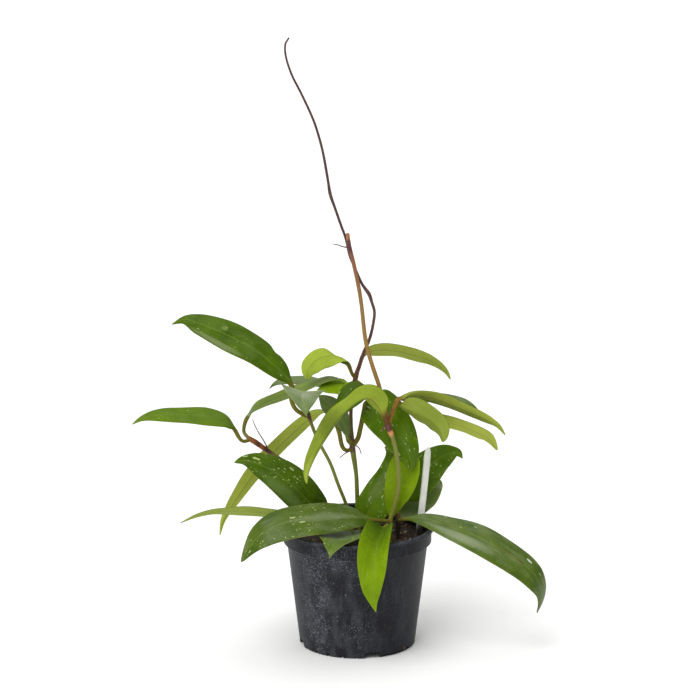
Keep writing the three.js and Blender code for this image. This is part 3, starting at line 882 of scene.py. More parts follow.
@dataclass(frozen=True)
class Leaf:
    """One leaf, from its stem along its stalk and midrib to its tip.

    Attributes:
        name: The node that it stands for.
        look: Its look.
        half: Half width of the blade in millimetres.
        face: Where the upper side looks at mid-blade.
        stalk: Layout points of the stalk.
        blade: Layout points of the midrib, from the blade's base to its tip.
        twist: Degrees that it turns further at the base and at the tip.
        fold: How steeply both halves rise like a V, at the base and at the tip.
        curl: How far the rims bend, down below 0.
        rise: How full the base of the outline is, fuller below 1.
        fall: How drawn out the tip is.
        drip: How much the last fifth narrows into a drip tip.
        sides: Width of the left and the right half against the given one.
        dents: Dips in the outline: share along, side, depth and length of each.
        thick: Radius of its stalk in millimetres.
        ripple: How far the rims wave, as a share of the half width.
        waves: How many waves a rim has.
        marks: Blemishes, painted sheen, and patches of painted light and shade.
        light: How light its colours are against its look's, partly its own tone and partly painted
            light and shade.
        flecks: How many flecks it has against its look's.
        stalk_colour: Colour of its stalk where that isn't its look's.
        DRIP_RUN: Share of the blade where the drip tip starts, and over what share it forms.
        SEEDS: How many different seeds there are.
    """

    DRIP_RUN: ClassVar[tuple[float, float]] = (0.78, 0.2)
    SEEDS: ClassVar[int] = 89

    name: str
    look: Look
    half: float
    face: tuple[float, float, float]
    stalk: Sequence[Layout]
    blade: Sequence[Layout]
    twist: tuple[float, float] = (0.0, 0.0)
    fold: tuple[float, float] = (0.1, 0.1)
    curl: float = -0.1
    rise: float = 0.5
    fall: float = 0.75
    drip: float = 0.3
    sides: tuple[float, float] = (1.0, 1.0)
    dents: Sequence[tuple[float, int, float, float]] = ()
    thick: float = 1.4
    ripple: float = 0.03
    waves: float = 2.5
    marks: Sequence[Mark] = ()
    light: float = 1.0
    flecks: float = 1.0
    stalk_colour: Colour | None = None

    def seed(self) -> int:
        """Gives a number from this leaf's name, which tells its patterns from the others'."""
        return sum(ord(c) for c in self.name) % self.SEEDS

    def shade(self, colour: Colour) -> Colour:
        """Makes a colour as light as this leaf is against its look, painted light and shade
        included.
        """
        return (colour[0] * self.light, colour[1] * self.light, colour[2] * self.light, 1.0)

    def length(self) -> float:
        """Gives the blade's length in centimetres, straight from point to point."""
        points = [SIGHT.point(p) for p in self.blade]
        return sum((b - a).length for a, b in zip(points, points[1:])) * 100

    def outline(self, s: float, u: float) -> float:
        """Gives the half width of one side of the blade, 1 at the widest.

        Args:
            s: Share of the blade's length.
            u: Where across the blade, from -1 to 1.

        Returns:
            The half width.
        """
        s = min(max(s, 0.0), 1.0)
        peak = self.rise / (self.rise + self.fall)
        widest = peak**self.rise * (1 - peak) ** self.fall
        width = s**self.rise * (1 - s) ** self.fall / widest
        width *= 1 - self.drip * smooth_step((s - self.DRIP_RUN[0]) / self.DRIP_RUN[1])
        for place, side, depth, length in self.dents:
            width *= 1 - depth * math.exp(-(((s - place) / length) ** 2)) * smooth_step(u * side)
        return width


class LeafFinish:
    """The waxy finish of one leaf, with its flecks, veins, blemishes, painted sheen and patches of
    painted light and shade.

    Most washes come in pairs: the first is for the upper face, the second for the underside.

    Attributes:
        GRAIN: The finest flecks, on the upper face alone.
        FLECKS: The silvery flecks.
        LIGHT_VEINS: Light streaks.
        DARK_VEINS: Dark streaks.
        WAX: Painted sheen, a painted highlight on the upper face alone.
        RIB: The midrib.
        RIM: The rim of the blade: a pale margin on the upper face, and painted shade along the edge
            of the underside.
        BARK: Darker colour of the stalk.
        DRY_TIP: The dry end of the tip.
        UNDER_ROUGH: Roughness of the underside.
        RAGGED: How uneven the edge of a blemish is.
        RELIEF: How deep the relief is, in metres.
    """

    GRAIN = Wash(tint(150, 170, 90), 0.3)
    FLECKS = (Wash(tint(178, 192, 128), 0.85), Wash(tint(184, 198, 116), 0.3))
    LIGHT_VEINS = (Wash(tint(128, 146, 84), 0.5), Wash(tint(176, 190, 92), 0.45))
    DARK_VEINS = (Wash(tint(34, 56, 6), 0.7), Wash(tint(92, 112, 28), 0.6))
    WAX = Wash(tint(142, 152, 116))
    RIB = (Wash(tint(112, 132, 54), 0.3), Wash(tint(104, 124, 44), 0.4))
    RIM = (Wash(tint(132, 124, 58), 0.4), Wash(tint(78, 98, 26), 0.75))
    BARK = tint(92, 76, 32)
    DRY_TIP = Wash(tint(110, 84, 40), 0.7)
    UNDER_ROUGH = 0.58
    RAGGED = 0.8
    RELIEF = 0.00012

    def __init__(self, leaf: Leaf) -> None:
        """Reads where a point lies on the leaf and gives both faces their soft clouds.

        Args:
            leaf: The leaf.
        """
        self.leaf, self.look = leaf, leaf.look.value
        self.kit = kit = FinishKit(leaf.name + "_finish")
        self.size = kit.note("size")
        self.u, self.s, side = kit.split(kit.note("lay"))
        self.upper_face, self.on_blade = side.ease(-0.12, 0.12), self.s.ease(0.0, 0.07)
        self.fine = kit.cloud(self.size, 9.0, 3.0, 0.6)
        broad = kit.cloud(self.size, 0.7)
        tone = (broad * 1.5 - 0.25 + (self.fine - 0.5) * 0.35).clamped()
        self.upper = kit.blend(tone, leaf.shade(self.look.deep), leaf.shade(self.look.upper))
        tone = (broad * 0.7 + self.fine * 0.5 - 0.1).clamped()
        self.under = kit.blend(tone, leaf.shade(self.look.under_deep), leaf.shade(self.look.under))

    def material(self) -> Material:
        """Finishes the leaf.

        Returns:
            Its material.
        """
        flecks = self._flecks()
        self._veins()
        across = self.kit.split(self.size)[0]
        self._both(abs(across).ease(0.1, 0.02) * self.on_blade, self.RIB)
        # the rim: a pale margin above, painted shade along the edge below
        self._both(abs(self.u).ease(0.95, 0.995) * self.on_blade, self.RIM)
        colour = self._marked(self.kit.blend(self.upper_face, self.under, self.upper))
        stalk = self.leaf.stalk_colour or self.look.stalk
        bark = self.kit.blend(self.kit.cloud(self.size, 3.0), stalk, self.BARK)
        colour = self.kit.blend(self.on_blade, bark, colour)
        colour = self.kit.wash(self.s.ease(0.985, 1.0), colour, self.DRY_TIP)
        rough = (1.0 - self.upper_face) * (self.UNDER_ROUGH - self.look.rough) + self.look.rough
        rough = rough + flecks * 0.08 + (self.fine - 0.5) * 0.1
        height = self.fine * 0.5 + flecks * 0.35 + self.kit.cloud(self.size, 30.0, 1.0) * 0.25
        return self.kit.finish(
            colour, rough, height, self.RELIEF, Specular_IOR_Level=self.look.gloss
        )

    def _both(self, mask: Term, washes: tuple[Wash, Wash], under_mask: Term | None = None) -> None:
        """Lays a pair of washes on the two faces.

        Args:
            mask: Where they show.
            washes: The wash of the upper face and that of the underside.
            under_mask: Where the second shows, if elsewhere.
        """
        self.upper = self.kit.wash(mask, self.upper, washes[0])
        self.under = self.kit.wash(under_mask or mask, self.under, washes[1])

    def _flecks(self) -> Term:
        """Scatters the flecks, which lie along the blade and gather in patches.

        Returns:
            Where the silvery flecks are.
        """
        kit, size = self.kit, self.size
        patch = kit.cloud(size, 0.45, 1.0).ease(0.3, 0.62)
        ragged = (kit.cloud(size, 14.0) - 0.5) * 0.16
        bare = 1.0 - self.look.fleck * self.leaf.flecks * 0.6
        streaks, dots = kit.stretch(size, (3.4, 1.0, 1.0)), kit.stretch(size, (8.0, 3.6, 1.0))
        splash, _ = kit.specks(streaks, 1.0, bare, (patch * 0.6 + 0.4) * 0.7, 0.05, ragged)
        spray, _ = kit.specks(dots, 1.0, bare, (patch * 0.65 + 0.35) * 0.75, 0.05, ragged)
        grains = kit.stretch(size, (22.0, 9.0, 1.0))
        grain, _ = kit.specks(grains, 1.0, 0.45, patch * 0.5 + 0.45, 0.12)
        grain, flecks = grain * self.on_blade, splash.highest(spray) * self.on_blade
        self.upper = kit.wash(grain, self.upper, self.GRAIN)
        self._both(flecks, self.FLECKS, flecks.highest(grain * 0.6))
        return flecks

    def _veins(self) -> None:
        """Draws the long soft streaks of the veins, and the painted sheen."""
        kit = self.kit
        vein = kit.cloud(kit.stretch(self.size, (7.0, 0.9, 1.0)), 1.0, 3.0, 0.6)
        light = (vein - 0.5).highest(0.0) * self.on_blade
        self._both(light, self.LIGHT_VEINS)
        self._both((0.5 - vein).highest(0.0) * self.on_blade, self.DARK_VEINS)
        # painted sheen: soft grey-green highlight patches on the upper face
        painted_sheen = kit.cloud(kit.stretch(self.size, (1.4, 0.55, 1.0)), 1.0).ease(0.42, 0.7)
        painted_sheen = painted_sheen * (light * 1.5 + 0.5) * self.look.sheen * self.on_blade
        self.upper = kit.wash(painted_sheen, self.upper, self.WAX)

    def _marked(self, colour: Socket) -> Socket:
        """Lays the leaf's marks over its colour.

        Args:
            colour: The colour.

        Returns:
            The colour with the marks.
        """
        for mark in self.leaf.marks:
            away = abs(self.s - mark.along) * self.leaf.length() / mark.size[0]
            beside = abs(self.u - mark.across) * self.leaf.half / 10 / mark.size[1]
            reach = away * away + beside * beside + (self.fine - 0.5) * self.RAGGED
            face = 1.0 - self.upper_face if mark.under else self.upper_face
            mask = reach.ease(1.0, mark.core) * face
            colour = self.kit.wash(mask, colour, Wash(mark.colour, mark.strength))
        return colour


@dataclass
class LeafMaker:
    """Builds and dresses a leaf.

    Attributes:
        around: Cells round the blade.
        along: Cells along the stalk and blade.
        crowding: How much closer the cells lie towards the tip, more above 1.
        steps: Steps in which the facing is carried along the leaf.
        middle: Share of the blade where the facing is given.
        join: Share of the blade over which the stalk flattens into it.
        rib: Thickness at the midrib, in millimetres.
        rim: Thickness near the rim, in millimetres.
        blunt: How blunt the rims are, blunter with more.
        tip: Share of the blade where it gets thinner, and what is left at its tip.
        least: Least half width of the first and of the last half, in millimetres.
        fold_run: Share of the blade where the fold changes, and over what share.
        groove: Depth and half width of the groove along the midrib, in millimetres.
        groove_run: Share of the blade over which the groove deepens.
        swell: How much the stalk swells below the blade, from where and over what share.
        turn_ease: How soon the twist at the base fades, sooner with more.
        apart: How far the patterns of the two faces lie apart, in centimetres.
    """

    around: int = 28
    along: int = 60
    crowding: float = 1.25
    steps: int = 200
    middle: float = 0.45
    join: float = 0.1
    rib: float = 1.4
    rim: float = 0.9
    blunt: int = 8
    tip: tuple[float, float] = (0.9, 0.55)
    least: tuple[float, float] = (0.5, 0.25)
    fold_run: tuple[float, float] = (0.1, 0.6)
    groove: tuple[float, float] = (0.4, 1.1)
    groove_run: float = 0.2
    swell: tuple[float, float, float] = (0.2, -0.12, 0.1)
    turn_ease: float = 1.4
    apart: float = 0.15

    def build(self, leaf: Leaf) -> Piece:
        """Models one leaf as a rolled skin.

        Args:
            leaf: The leaf.

        Returns:
            The finished piece.
        """
        rib = Rib([SIGHT.point(p) for p in (*leaf.stalk, *leaf.blade)])
        neck = rib.knots[len(leaf.stalk)]
        pivot = neck + (1 - neck) * self.middle
        facings = rib.carried(Vector(leaf.face), pivot, self.steps)
        blade_length = rib.length * (1 - neck)
        seed = leaf.seed()

        def place(around: float, share: float) -> tuple[Vector, Vector, Vector]:
            """Places one point of the skin.

            Args:
                around: Share of the way round.
                share: Share of the leaf's length.

            Returns:
                Its place, its shares across and along, and its place in centimetres.
            """
            if share > neck:
                rest = (share - neck) / (1 - neck)
                share = neck + (1 - neck) * (1 - (1 - rest) ** self.crowding)
            s = (share - neck) / (1 - neck)
            angle = 2 * math.pi * around
            u, sign = math.cos(angle), 1.0 if around < 0.5 else -1.0
            heading = rib.heading(share)
            turn = Quaternion(heading, math.radians(self._turn(leaf, s)))
            facing = turn @ facings[round(share * self.steps)]
            side = facing.cross(heading).normalized()
            half = leaf.half * mix(*leaf.sides, smooth_step(u + 0.5))
            width = max(half * leaf.outline(s, u), self.least[0 if s < 0.5 else 1])
            wave = math.sin(2 * math.pi * (leaf.waves * s + 0.5 * (u > 0)) + seed)
            fold = smooth_step((s - self.fold_run[0]) / self.fold_run[1])
            slope = math.atan(mix(*leaf.fold, fold))
            level = width * u * math.cos(slope)
            lift = width * (math.sin(slope) * abs(u) + (leaf.curl + leaf.ripple * wave) * u * u)
            flat = smooth_step(s / self.join)
            stalk = leaf.thick * self._swelling(s, flat)
            right = mix(stalk * math.cos(angle), level, flat)
            over = lift + sign * self._body(s, u) - self._groove(s, width * u)
            over = mix(stalk * math.sin(angle), over, flat)
            spot = rib.at(share) + (side * right + facing * over) * MM
            lay = Vector((u, s, math.sin(angle)))
            size = Vector((right / 10, s * blade_length / MM / 10, seed + sign * self.apart))
            return spot, lay, size

        piece = Bench.roll(leaf.name + "_skin", self.around, self.along, place)
        Bench.smooth(piece, levels=1)
        Bench.dress(piece, LeafFinish(leaf).material())
        return piece

    def _turn(self, leaf: Leaf, s: float) -> float:
        """Gives the twist of the blade.

        Args:
            leaf: The leaf.
            s: Share of the blade's length.

        Returns:
            The twist in degrees.
        """
        s = min(max(s, 0.0), 1.0)
        if s < self.middle:
            return leaf.twist[0] * (1 - s / self.middle) ** self.turn_ease
        return leaf.twist[1] * (s - self.middle) / (1 - self.middle)

    def _body(self, s: float, u: float) -> float:
        """Gives half the blade's thickness.

        Args:
            s: Share of the blade's length.
            u: Where across the blade, from -1 to 1.

        Returns:
            Half the thickness in millimetres.
        """
        start, left = self.tip
        body = mix(self.rib, self.rim, abs(u)) / 2 * (1 - abs(u) ** self.blunt) ** 0.5
        return body * (1 if s < start else mix(1, left, (s - start) / (1 - start)))

    def _groove(self, s: float, away: float) -> float:
        """Gives the depth of the groove along the midrib.

        Args:
            s: Share of the blade's length.
            away: Millimetres from the midrib.

        Returns:
            The depth in millimetres.
        """
        depth, half = self.groove
        return depth * math.exp(-((away / half) ** 2)) * smooth_step(s / self.groove_run) * (1 - s)

    def _swelling(self, s: float, flat: float) -> float:
        """Gives how much thicker the stalk is than its given radius.

        Args:
            s: Share of the blade's length, below 0 on the stalk.
            flat: How far the stalk has flattened into the blade, from 0 to 1.

        Returns:
            The factor.
        """
        more, start, run = self.swell
        return 1 + more * smooth_step((s - start) / run) * (1 - flat)


LEAVES: tuple[Leaf, ...] = (
    Leaf(
        "leaf_upper_left", Look.FLECKED, 14.5, (0.15, -0.62, 0.77),
        [(-37.5, 172, -19.5), (-42.5, 174, -22), (-48, 178, -25), (-51, 185, -27)],
        [(-50.5, 195, -28), (-55, 202, -28), (-64, 211, -28), (-76, 221, -26), (-90, 229, -23),
         (-106, 237, -19), (-121, 243, -15.5), (-133, 246.5, -13), (-143, 243, -11)],
        fold=(0.12, 0.12), rise=0.72, fall=0.72, drip=0.5, thick=1.7,
        dents=[(0.25, -1, 0.16, 0.03), (0.13, -1, -0.08, 0.05)], flecks=0.62,
        marks=[
            Mark(0.62, -0.35, (0.3, 0.3), tint(150, 168, 104), strength=0.3, core=0.0),
            # painted sheen: a pale strip along the lower half
            Mark(0.62, 0.78, (2.8, 0.32), tint(128, 138, 96), strength=0.6, core=0.0),
        ],
    ),
    Leaf(
        "leaf_front_left", Look.GLOSSY, 17.5, (0.14, -0.35, 0.92),
        [(-38.5, 176, -20), (-38.5, 179, -26), (-40, 185, -30)],
        [(-41, 188, -34), (-42, 190.5, -42), (-42.5, 190, -51), (-42, 186, -60),
         (-41, 180, -68), (-39.3, 172, -75)],
        fold=(0.22, 0.2), curl=0, rise=0.3, fall=1.0,
        # painted sheen over the top of the blade
        marks=[Mark(0.3, 0.0, (1.7, 2.2), tint(156, 162, 132), strength=0.6, core=0.0)],
    ),
    Leaf(
        "leaf_far_left", Look.MEDIUM, 13, (0, -0.33, 0.94),
        [(-83, 154, 11.5), (-88.5, 153, 8.5), (-92, 157, 8.5)],
        [(-94, 161, 8.5), (-101, 168.5, 7), (-112, 171.5, 4), (-123.5, 172.5, 1), (-137, 173, -3),
         (-150, 173, -7), (-160, 172, -10), (-167, 170, -12), (-173.5, 166, -14)],
        rise=0.36,
    ),
    Leaf(
        "leaf_arching_left", Look.PALE, 11.5, (0.2, -0.2, 0.95),
        [(-84, 155.5, 11.5), (-87.5, 160, 15.5), (-87, 166, 15.5)],
        [(-85, 171, 14), (-79, 178, 11), (-71, 182, 9), (-61, 186, 7), (-50.5, 190.5, 5),
         (-39.5, 194.5, 4), (-29.5, 198.5, 3), (-21, 201, 2), (-15, 200.5, 2), (-10, 197.5, 2)],
        fold=(0.25, 0.15), rise=0.45,
        marks=[Mark(0.3, 0.05, (3.2, 0.06), tint(70, 92, 20), strength=0.7)],
    ),
    Leaf(
        "leaf_curled_top", Look.SUNNY, 9.2, (0.35, 0.75, -0.5),
        [(-2, 202, 10), (-4.2, 205, 8.5), (-5.6, 208.5, 7)],
        [(-6.8, 211.5, 6), (-10.4, 215.8, 5), (-15.8, 218, 3.5), (-22, 218.5, 1), (-29, 216.6, -2),
         (-35, 212, -4.5), (-38.2, 206.5, -6), (-38.6, 200.5, -6)],
        twist=(98, 0), fold=(0.3, 0.1), curl=0, rise=0.5, fall=0.45,
    ),
    Leaf(
        "leaf_top_right", Look.UNDERLIT, 11.5, (0, 0.62, 0.78),
        [(-1.5, 203, 10), (1, 209, 12), (2.5, 214.5, 14)],
        [(4.2, 219, 15.5), (9, 222.3, 16), (17.3, 223.5, 17), (25, 223.4, 18), (32.7, 222.5, 19),
         (40.4, 220.6, 19.5), (48.1, 218.3, 19.5), (55.8, 215.6, 19), (63.5, 211, 18),
         (68.9, 205.6, 17.5), (71.5, 200.5, 17)],
        rise=0.25, fall=0.62,
    ),
    Leaf(
        "leaf_back_left", Look.SHADED, 7, (0, -0.3, 0.95),
        [(-1.5, 199, 10), (-7, 197, 16), (-13, 195.5, 20)],
        [(-18, 195, 22), (-28, 197.5, 24), (-38, 199.5, 25), (-48, 200, 24), (-57, 199.5, 22),
         (-64, 197, 20), (-68, 193.5, 19)],
    ),
    Leaf(
        "leaf_inner_left", Look.BRIGHT, 9.5, (-0.1, -0.5, 0.85),
        [(-2.5, 196, 10.5), (-4, 196.5, 6)],
        [(-5.5, 196, 4), (-11.5, 195.5, 1.5), (-18, 195, 0), (-24.5, 194, -2), (-31, 192.5, -4)],
        rise=0.35, light=1.1,
    ),
    Leaf(
        "leaf_inner_front", Look.FLECKED, 11, (-0.35, -0.75, 0.5),
        [(-1.5, 200, 10), (3, 196.5, 5), (7, 194, 0)],
        [(9, 191.5, -4), (4, 193, -8), (-2, 191, -12), (-7, 186, -15), (-11.5, 179.5, -17),
         (-15, 171, -18)],
        fold=(0.05, 0.05), rise=0.4, light=0.85,
    ),
    Leaf(
        "leaf_drooping_front", Look.SUNNY, 11.5, (-0.45, 0.7, 0.5),
        [(23.5, 165, -22), (22.3, 167.5, -24.5), (21.3, 169.5, -26.5)],
        [(20.4, 171.7, -28), (18.1, 176.3, -30), (14.2, 181.7, -32), (9.6, 186, -34), (5, 186, -35),
         (-0.4, 183.3, -36), (-7.3, 177.9, -37), (-15.8, 169.4, -38), (-23.5, 158.6, -39),
         (-30.4, 147, -39), (-35.8, 136.3, -38), (-38.7, 127.5, -37), (-39, 120, -36)],
        fold=(0.8, 0.5), curl=0, rise=0.2, fall=0.62, drip=0.15, thick=1.3,
        dents=[(0.32, 1, 0.25, 0.08), (0.32, -1, 0.25, 0.08)], light=0.9,
        marks=[
            Mark(0.12, 0.0, (1.5, 0.05), tint(128, 94, 50), under=True),
            # painted shade: a darker middle on the underside
            Mark(0.52, 0.0, (1.6, 1.6), tint(100, 118, 40), strength=0.65, core=0.0, under=True),
            # painted light: a bright yellow-green tip lit through the leaf
            Mark(0.95, 0.0, (2.2, 1.2), tint(186, 200, 80), strength=0.6, core=0.0, under=True),
        ],
        stalk_colour=tint(116, 74, 40),
    ),
    Leaf(
        "leaf_right_long", Look.UNDERLIT, 10, (0.1, 0.6, 0.75),
        [(23.5, 165, -22), (26, 171, -22), (28.5, 178, -20)],
        [(31, 184.5, -17), (35.5, 187.2, -15), (42.7, 188.2, -12), (48.1, 188.2, -11),
         (55.8, 187, -9.5),
         (63.5, 185, -8), (71.2, 182.2, -7), (78.9, 179, -6), (86.6, 175.7, -5),
         (94.3, 172.3, -4.5),
         (102, 168.5, -4), (107.4, 165.4, -4), (110.5, 162.2, -4), (113.8, 157.5, -4)],
        fold=(0.15, 0.15), rise=0.3, fall=0.6, thick=1.2, stalk_colour=tint(152, 110, 46),
    ),
    Leaf(
        "leaf_right_behind", Look.SHADED, 7, (-0.1, -0.33, 0.94),
        [(31, 186, -6), (33, 186, -1)],
        [(36, 185.5, 2), (42, 186, 5), (51, 186.3, 9), (62, 186.5, 13), (73, 186, 16),
         (83, 183.6, 18), (90, 179.4, 19), (95, 174, 19)],
        rise=0.4,
    ),
    Leaf(
        "leaf_right_middle", Look.UNDERSIDE, 14.5, (0.35, 0.75, 0.55),
        [(30, 184, -8), (30.6, 182.5, -10)],
        [(31.5, 181, -12), (36.6, 178.4, -14), (42.7, 175.7, -17), (48.1, 173.4, -19),
         (53.5, 170.7, -21),
         (58.1, 167.4, -22.5), (62.8, 162.7, -23.5), (65.1, 157.7, -24), (65.6, 152.2, -24)],
        fold=(0.35, 0.2), curl=0, rise=0.5, fall=0.6, thick=1.2, light=0.84,
    ),
    Leaf(
        "leaf_right_lower", Look.UNDERLIT, 12, (0.25, 0.6, 0.75),
        [(31, 184, -7), (35, 181, -6)],
        [(40, 178.5, -5), (50, 175, -4), (57, 172.3, -4), (64.3, 169.5, -4), (72.8, 167.2, -4),
         (78.9, 165.4, -4), (86.6, 162.7, -5), (94.3, 159.3, -5), (99.7, 156.6, -5),
         (103.6, 152.5, -5),
         (107.6, 146, -5)],
        rise=0.6, fall=0.52, marks=[Mark(0.52, 0.1, (0.1, 0.09), tint(52, 46, 20))],
    ),
    Leaf(
        "leaf_hanging_centre", Look.FLECKED, 18, (0.35, -0.85, 0.45),
        [(-3.6, 149.5, 12), (0.2, 155, 11.5), (2, 162, 9.5), (3.7, 170, 7), (5.2, 177, 5)],
        [(7, 182.5, 3), (11.3, 183.5, -0.5), (17.2, 178, -3.5), (23.8, 169.8, -6), (30, 161.5, -8),
         (35, 152, -10.5), (39.5, 142.5, -13), (41.2, 136, -14.5), (41.4, 130, -15.5)],
        rise=0.22, fall=0.62, thick=1.9, light=1.35, flecks=1.12,
    ),
    Leaf(
        "leaf_inner_upright", Look.SHADED, 9, (-0.5, -0.6, 0.6),
        [(-4, 151, 12), (-5.8, 152, 8.5)],
        [(-7.3, 154.5, 7), (-8.8, 161.5, 6.5), (-11.5, 168.5, 5), (-15.8, 175.6, 3),
         (-20.4, 181, 1),
         (-25, 185.2, 0), (-29.3, 188.3, -1)],
        curl=0, rise=1.0, fall=0.55, thick=1.6,
    ),
    Leaf(
        "leaf_trailing_left", Look.UNDERLIT, 10, (-0.4, 0.75, 0.55),
        [(-4, 148.5, 12), (-7, 145.5, 10.5), (-10.8, 147, 10), (-12.8, 152.5, 10),
         (-13.8, 158.6, 11),
         (-15.5, 164.5, 13)],
        [(-18, 170, 15.5), (-21.5, 174, 17), (-26, 176, 19), (-32, 175, 22), (-39, 169.5, 26),
         (-48.5, 161, 30),
         (-59, 151, 34), (-70, 140, 37), (-81, 127, 39), (-90.5, 113.5, 39), (-98, 102, 38),
         (-103.5, 92, 37), (-106, 80.5, 36)],
        fold=(0.15, 0.15), rise=0.6, thick=1.7, light=1.12,
    ),
    Leaf(
        "leaf_rear_left", Look.FLECKED, 14.5, (-0.35, -0.75, 0.56),
        [(-25.5, 95.5, 16.3), (-22, 94.5, 11)],
        [(-21.2, 95.5, 5), (-30.4, 100.5, 1), (-38.1, 107, -2), (-45.8, 115, -4.5),
         (-54.3, 122.7, -7),
         (-63.5, 129.2, -9), (-73.5, 134.4, -10), (-81.2, 137.4, -10), (-88.2, 138.4, -9),
         (-95, 136.5, -8)],
        rise=0.5,
        # painted sheen along the lower half
        marks=[Mark(0.45, 0.58, (3.6, 0.6), tint(100, 122, 64), strength=0.6, core=0.0)],
    ),
    Leaf(
        "leaf_low_left", Look.UNDERSIDE, 12, (0, 0.56, 0.83),
        [(-24, 90, 14.5), (-31, 92, 11)],
        [(-40, 93.5, 6), (-50.4, 94.7, 2), (-61.2, 96.6, -2), (-73.5, 98.2, -6),
         (-86.6, 99.3, -10), (-99.7, 99.3, -13), (-112, 98.6, -16), (-123, 95.9, -18),
         (-129.7, 93.2, -19), (-136.4, 90, -20)],
        rise=0.4,
    ),
    Leaf(
        "leaf_large_left", Look.WAXY, 16, (-0.1, -0.6, 0.8),
        [(25, 92, -14), (21, 91.5, -18), (16.5, 91.8, -21.5)],
        [(12, 92.3, -25), (5, 93.6, -29), (-4.2, 95, -33), (-17.3, 95, -37), (-31.2, 94, -41),
         (-44.3, 92.4, -44), (-56.6, 89.7, -47), (-67.4, 85.5, -49), (-75.8, 79.7, -50),
         (-82.8, 71.6, -51), (-89.7, 60, -51)],
        fold=(0.1, 0.05), curl=-0.15, rise=0.6, fall=0.65, flecks=0.9,
        # painted sheen: a pale band along the blade
        marks=[Mark(0.35, 0.0, (3.6, 0.5), tint(146, 154, 122), strength=0.3, core=0.0)],
    ),
    Leaf(
        "leaf_over_rim", Look.WAXY, 23, (-0.1, -0.3, 0.95),
        [(-3.5, 86, 0), (-4, 85.5, -6), (-4.5, 84.5, -12)],
        [(-5.5, 83.5, -18), (-7.5, 82, -27), (-10, 80, -36), (-13, 77.5, -45), (-16, 75.3, -55.5),
         (-19, 70.5, -65.5), (-21.7, 62.3, -74)],
        fold=(0.18, 0.18), curl=0, rise=0.35, fall=1.0, drip=0.6,
        dents=[(0.76, 1, 0.2, 0.12), (0.76, -1, 0.2, 0.12)], light=1.35,
    ),
    Leaf(
        "leaf_hanging_front", Look.BRIGHT, 14.5, (-0.2, -0.8, 0.57),
        [(25, 84, -12), (24.5, 87, -20), (23, 88, -28)],
        [(20.5, 86, -36), (19, 83, -45), (17.5, 78.5, -54), (15.5, 72, -61.5), (13.7, 62, -67),
         (12.6, 51, -70), (12, 39.5, -71.5), (12.6, 29.5, -72), (14.2, 21.3, -72.5)],
        fold=(1.0, 0.25), curl=0, rise=0.3, fall=0.8, sides=(1.1, 0.9),
        marks=[
            # painted shade: the darker top of the blade
            Mark(0.0, 0.0, (4.2, 3.0), tint(66, 92, 12), strength=0.9, core=0.0),
            # painted shade: a darker patch on one side of the base
            Mark(0.0, -0.6, (1.4, 1.0), tint(48, 76, 8), strength=0.6, core=0.0),
            Mark(0.05, 0.75, (0.25, 0.25), tint(150, 130, 70)),
        ],
        light=0.95, flecks=0.5,
    ),
    Leaf(
        "leaf_large_right", Look.WAXY, 16.5, (0.3, -0.5, 0.8),
        [(31, 92, -1), (32.5, 92.3, -5)],
        [(34.3, 92.8, -9), (41, 93.6, -13), (47.4, 94, -17), (58, 91.6, -23), (70.5, 87.2, -28),
         (82.8, 83, -32), (95.9, 77.4, -35), (109, 70, -37), (120.5, 62.8, -38), (130.5, 55.4, -38),
         (138.2, 47, -38), (142, 38.5, -37), (141.7, 30, -36), (138.2, 20.8, -35)],
        fold=(0.1, 0.05), curl=-0.15, rise=0.85, fall=0.66,
        marks=[
            # painted sheen along the lower half
            Mark(0.34, -0.5, (3.4, 0.62), tint(150, 158, 128), strength=0.55, core=0.0),
            Mark(0.61, 0.02, (1.3, 0.05), tint(104, 84, 40)),
            Mark(0.68, 0.03, (0.35, 0.1)),
            Mark(0.72, 0.5, (0.28, 0.13), tint(206, 214, 190)),
        ],
        flecks=0.55,
    ),
    Leaf(
        "leaf_upright_left", Look.FLECKED, 14.5, (-0.25, -0.85, 0.45),
        [(1, 92, 17), (2, 90.5, 12), (2.7, 89.5, 8)],
        [(3.5, 90.5, 4), (8.9, 98.6, 2), (15, 107.8, 1), (20.4, 117, 1), (24.3, 125.5, 2),
         (26.2, 133.2, 4), (26.2, 140.1, 6), (24.3, 145.5, 7), (20.8, 149, 8)],
        rise=0.3, fall=0.7, light=1.5, flecks=1.25,
        # painted sheen: a pale patch on the blade
        marks=[Mark(0.5, 0.3, (2.4, 0.6), tint(124, 136, 84), strength=0.4, core=0.0)],
    ),
    Leaf(
        "leaf_upright_young", Look.BRIGHT, 12.8, (-0.1, -0.9, 0.4),
        [(25, 82, -12), (25.4, 87, -9.5)],
        [(25.8, 91.6, -8), (26.6, 98.6, -8), (28.9, 107.8, -8.5), (32, 117, -8.5),
         (35, 127, -8), (37.3, 137, -7), (38.9, 146.3, -6), (39.7, 151.5, -5)],
        curl=0, rise=1.0, fall=0.65, drip=0,
    ),
    Leaf(
        "leaf_upright_right", Look.FLECKED, 16.5, (-0.35, -0.8, 0.5),
        [(30.8, 100, 0), (31.5, 103, 8)],
        [(33, 107, 14), (38, 114, 19), (44.3, 122.4, 24), (51.2, 130, 28), (58.1, 136.3, 30),
         (65, 140.9, 31), (72, 143.6, 31), (77.4, 144, 30), (81, 139.5, 29)],
        rise=0.45, fall=0.85, light=1.3,
    ),
    Leaf(
        "leaf_upright_rear", Look.SHADED, 14.5, (-0.35, -0.75, 0.55),
        [(31, 86, -1), (31.7, 89.5, 3)],
        [(32.5, 93, 7), (37.3, 98.5, 13), (43, 104, 19), (49, 109.5, 25), (54, 114.5, 29.5),
         (58.5, 119, 33), (62, 120.5, 35), (64, 118, 35), (64.3, 114, 35)],
        curl=0, light=1.3,
    ),
)


# ---------- stems ----------


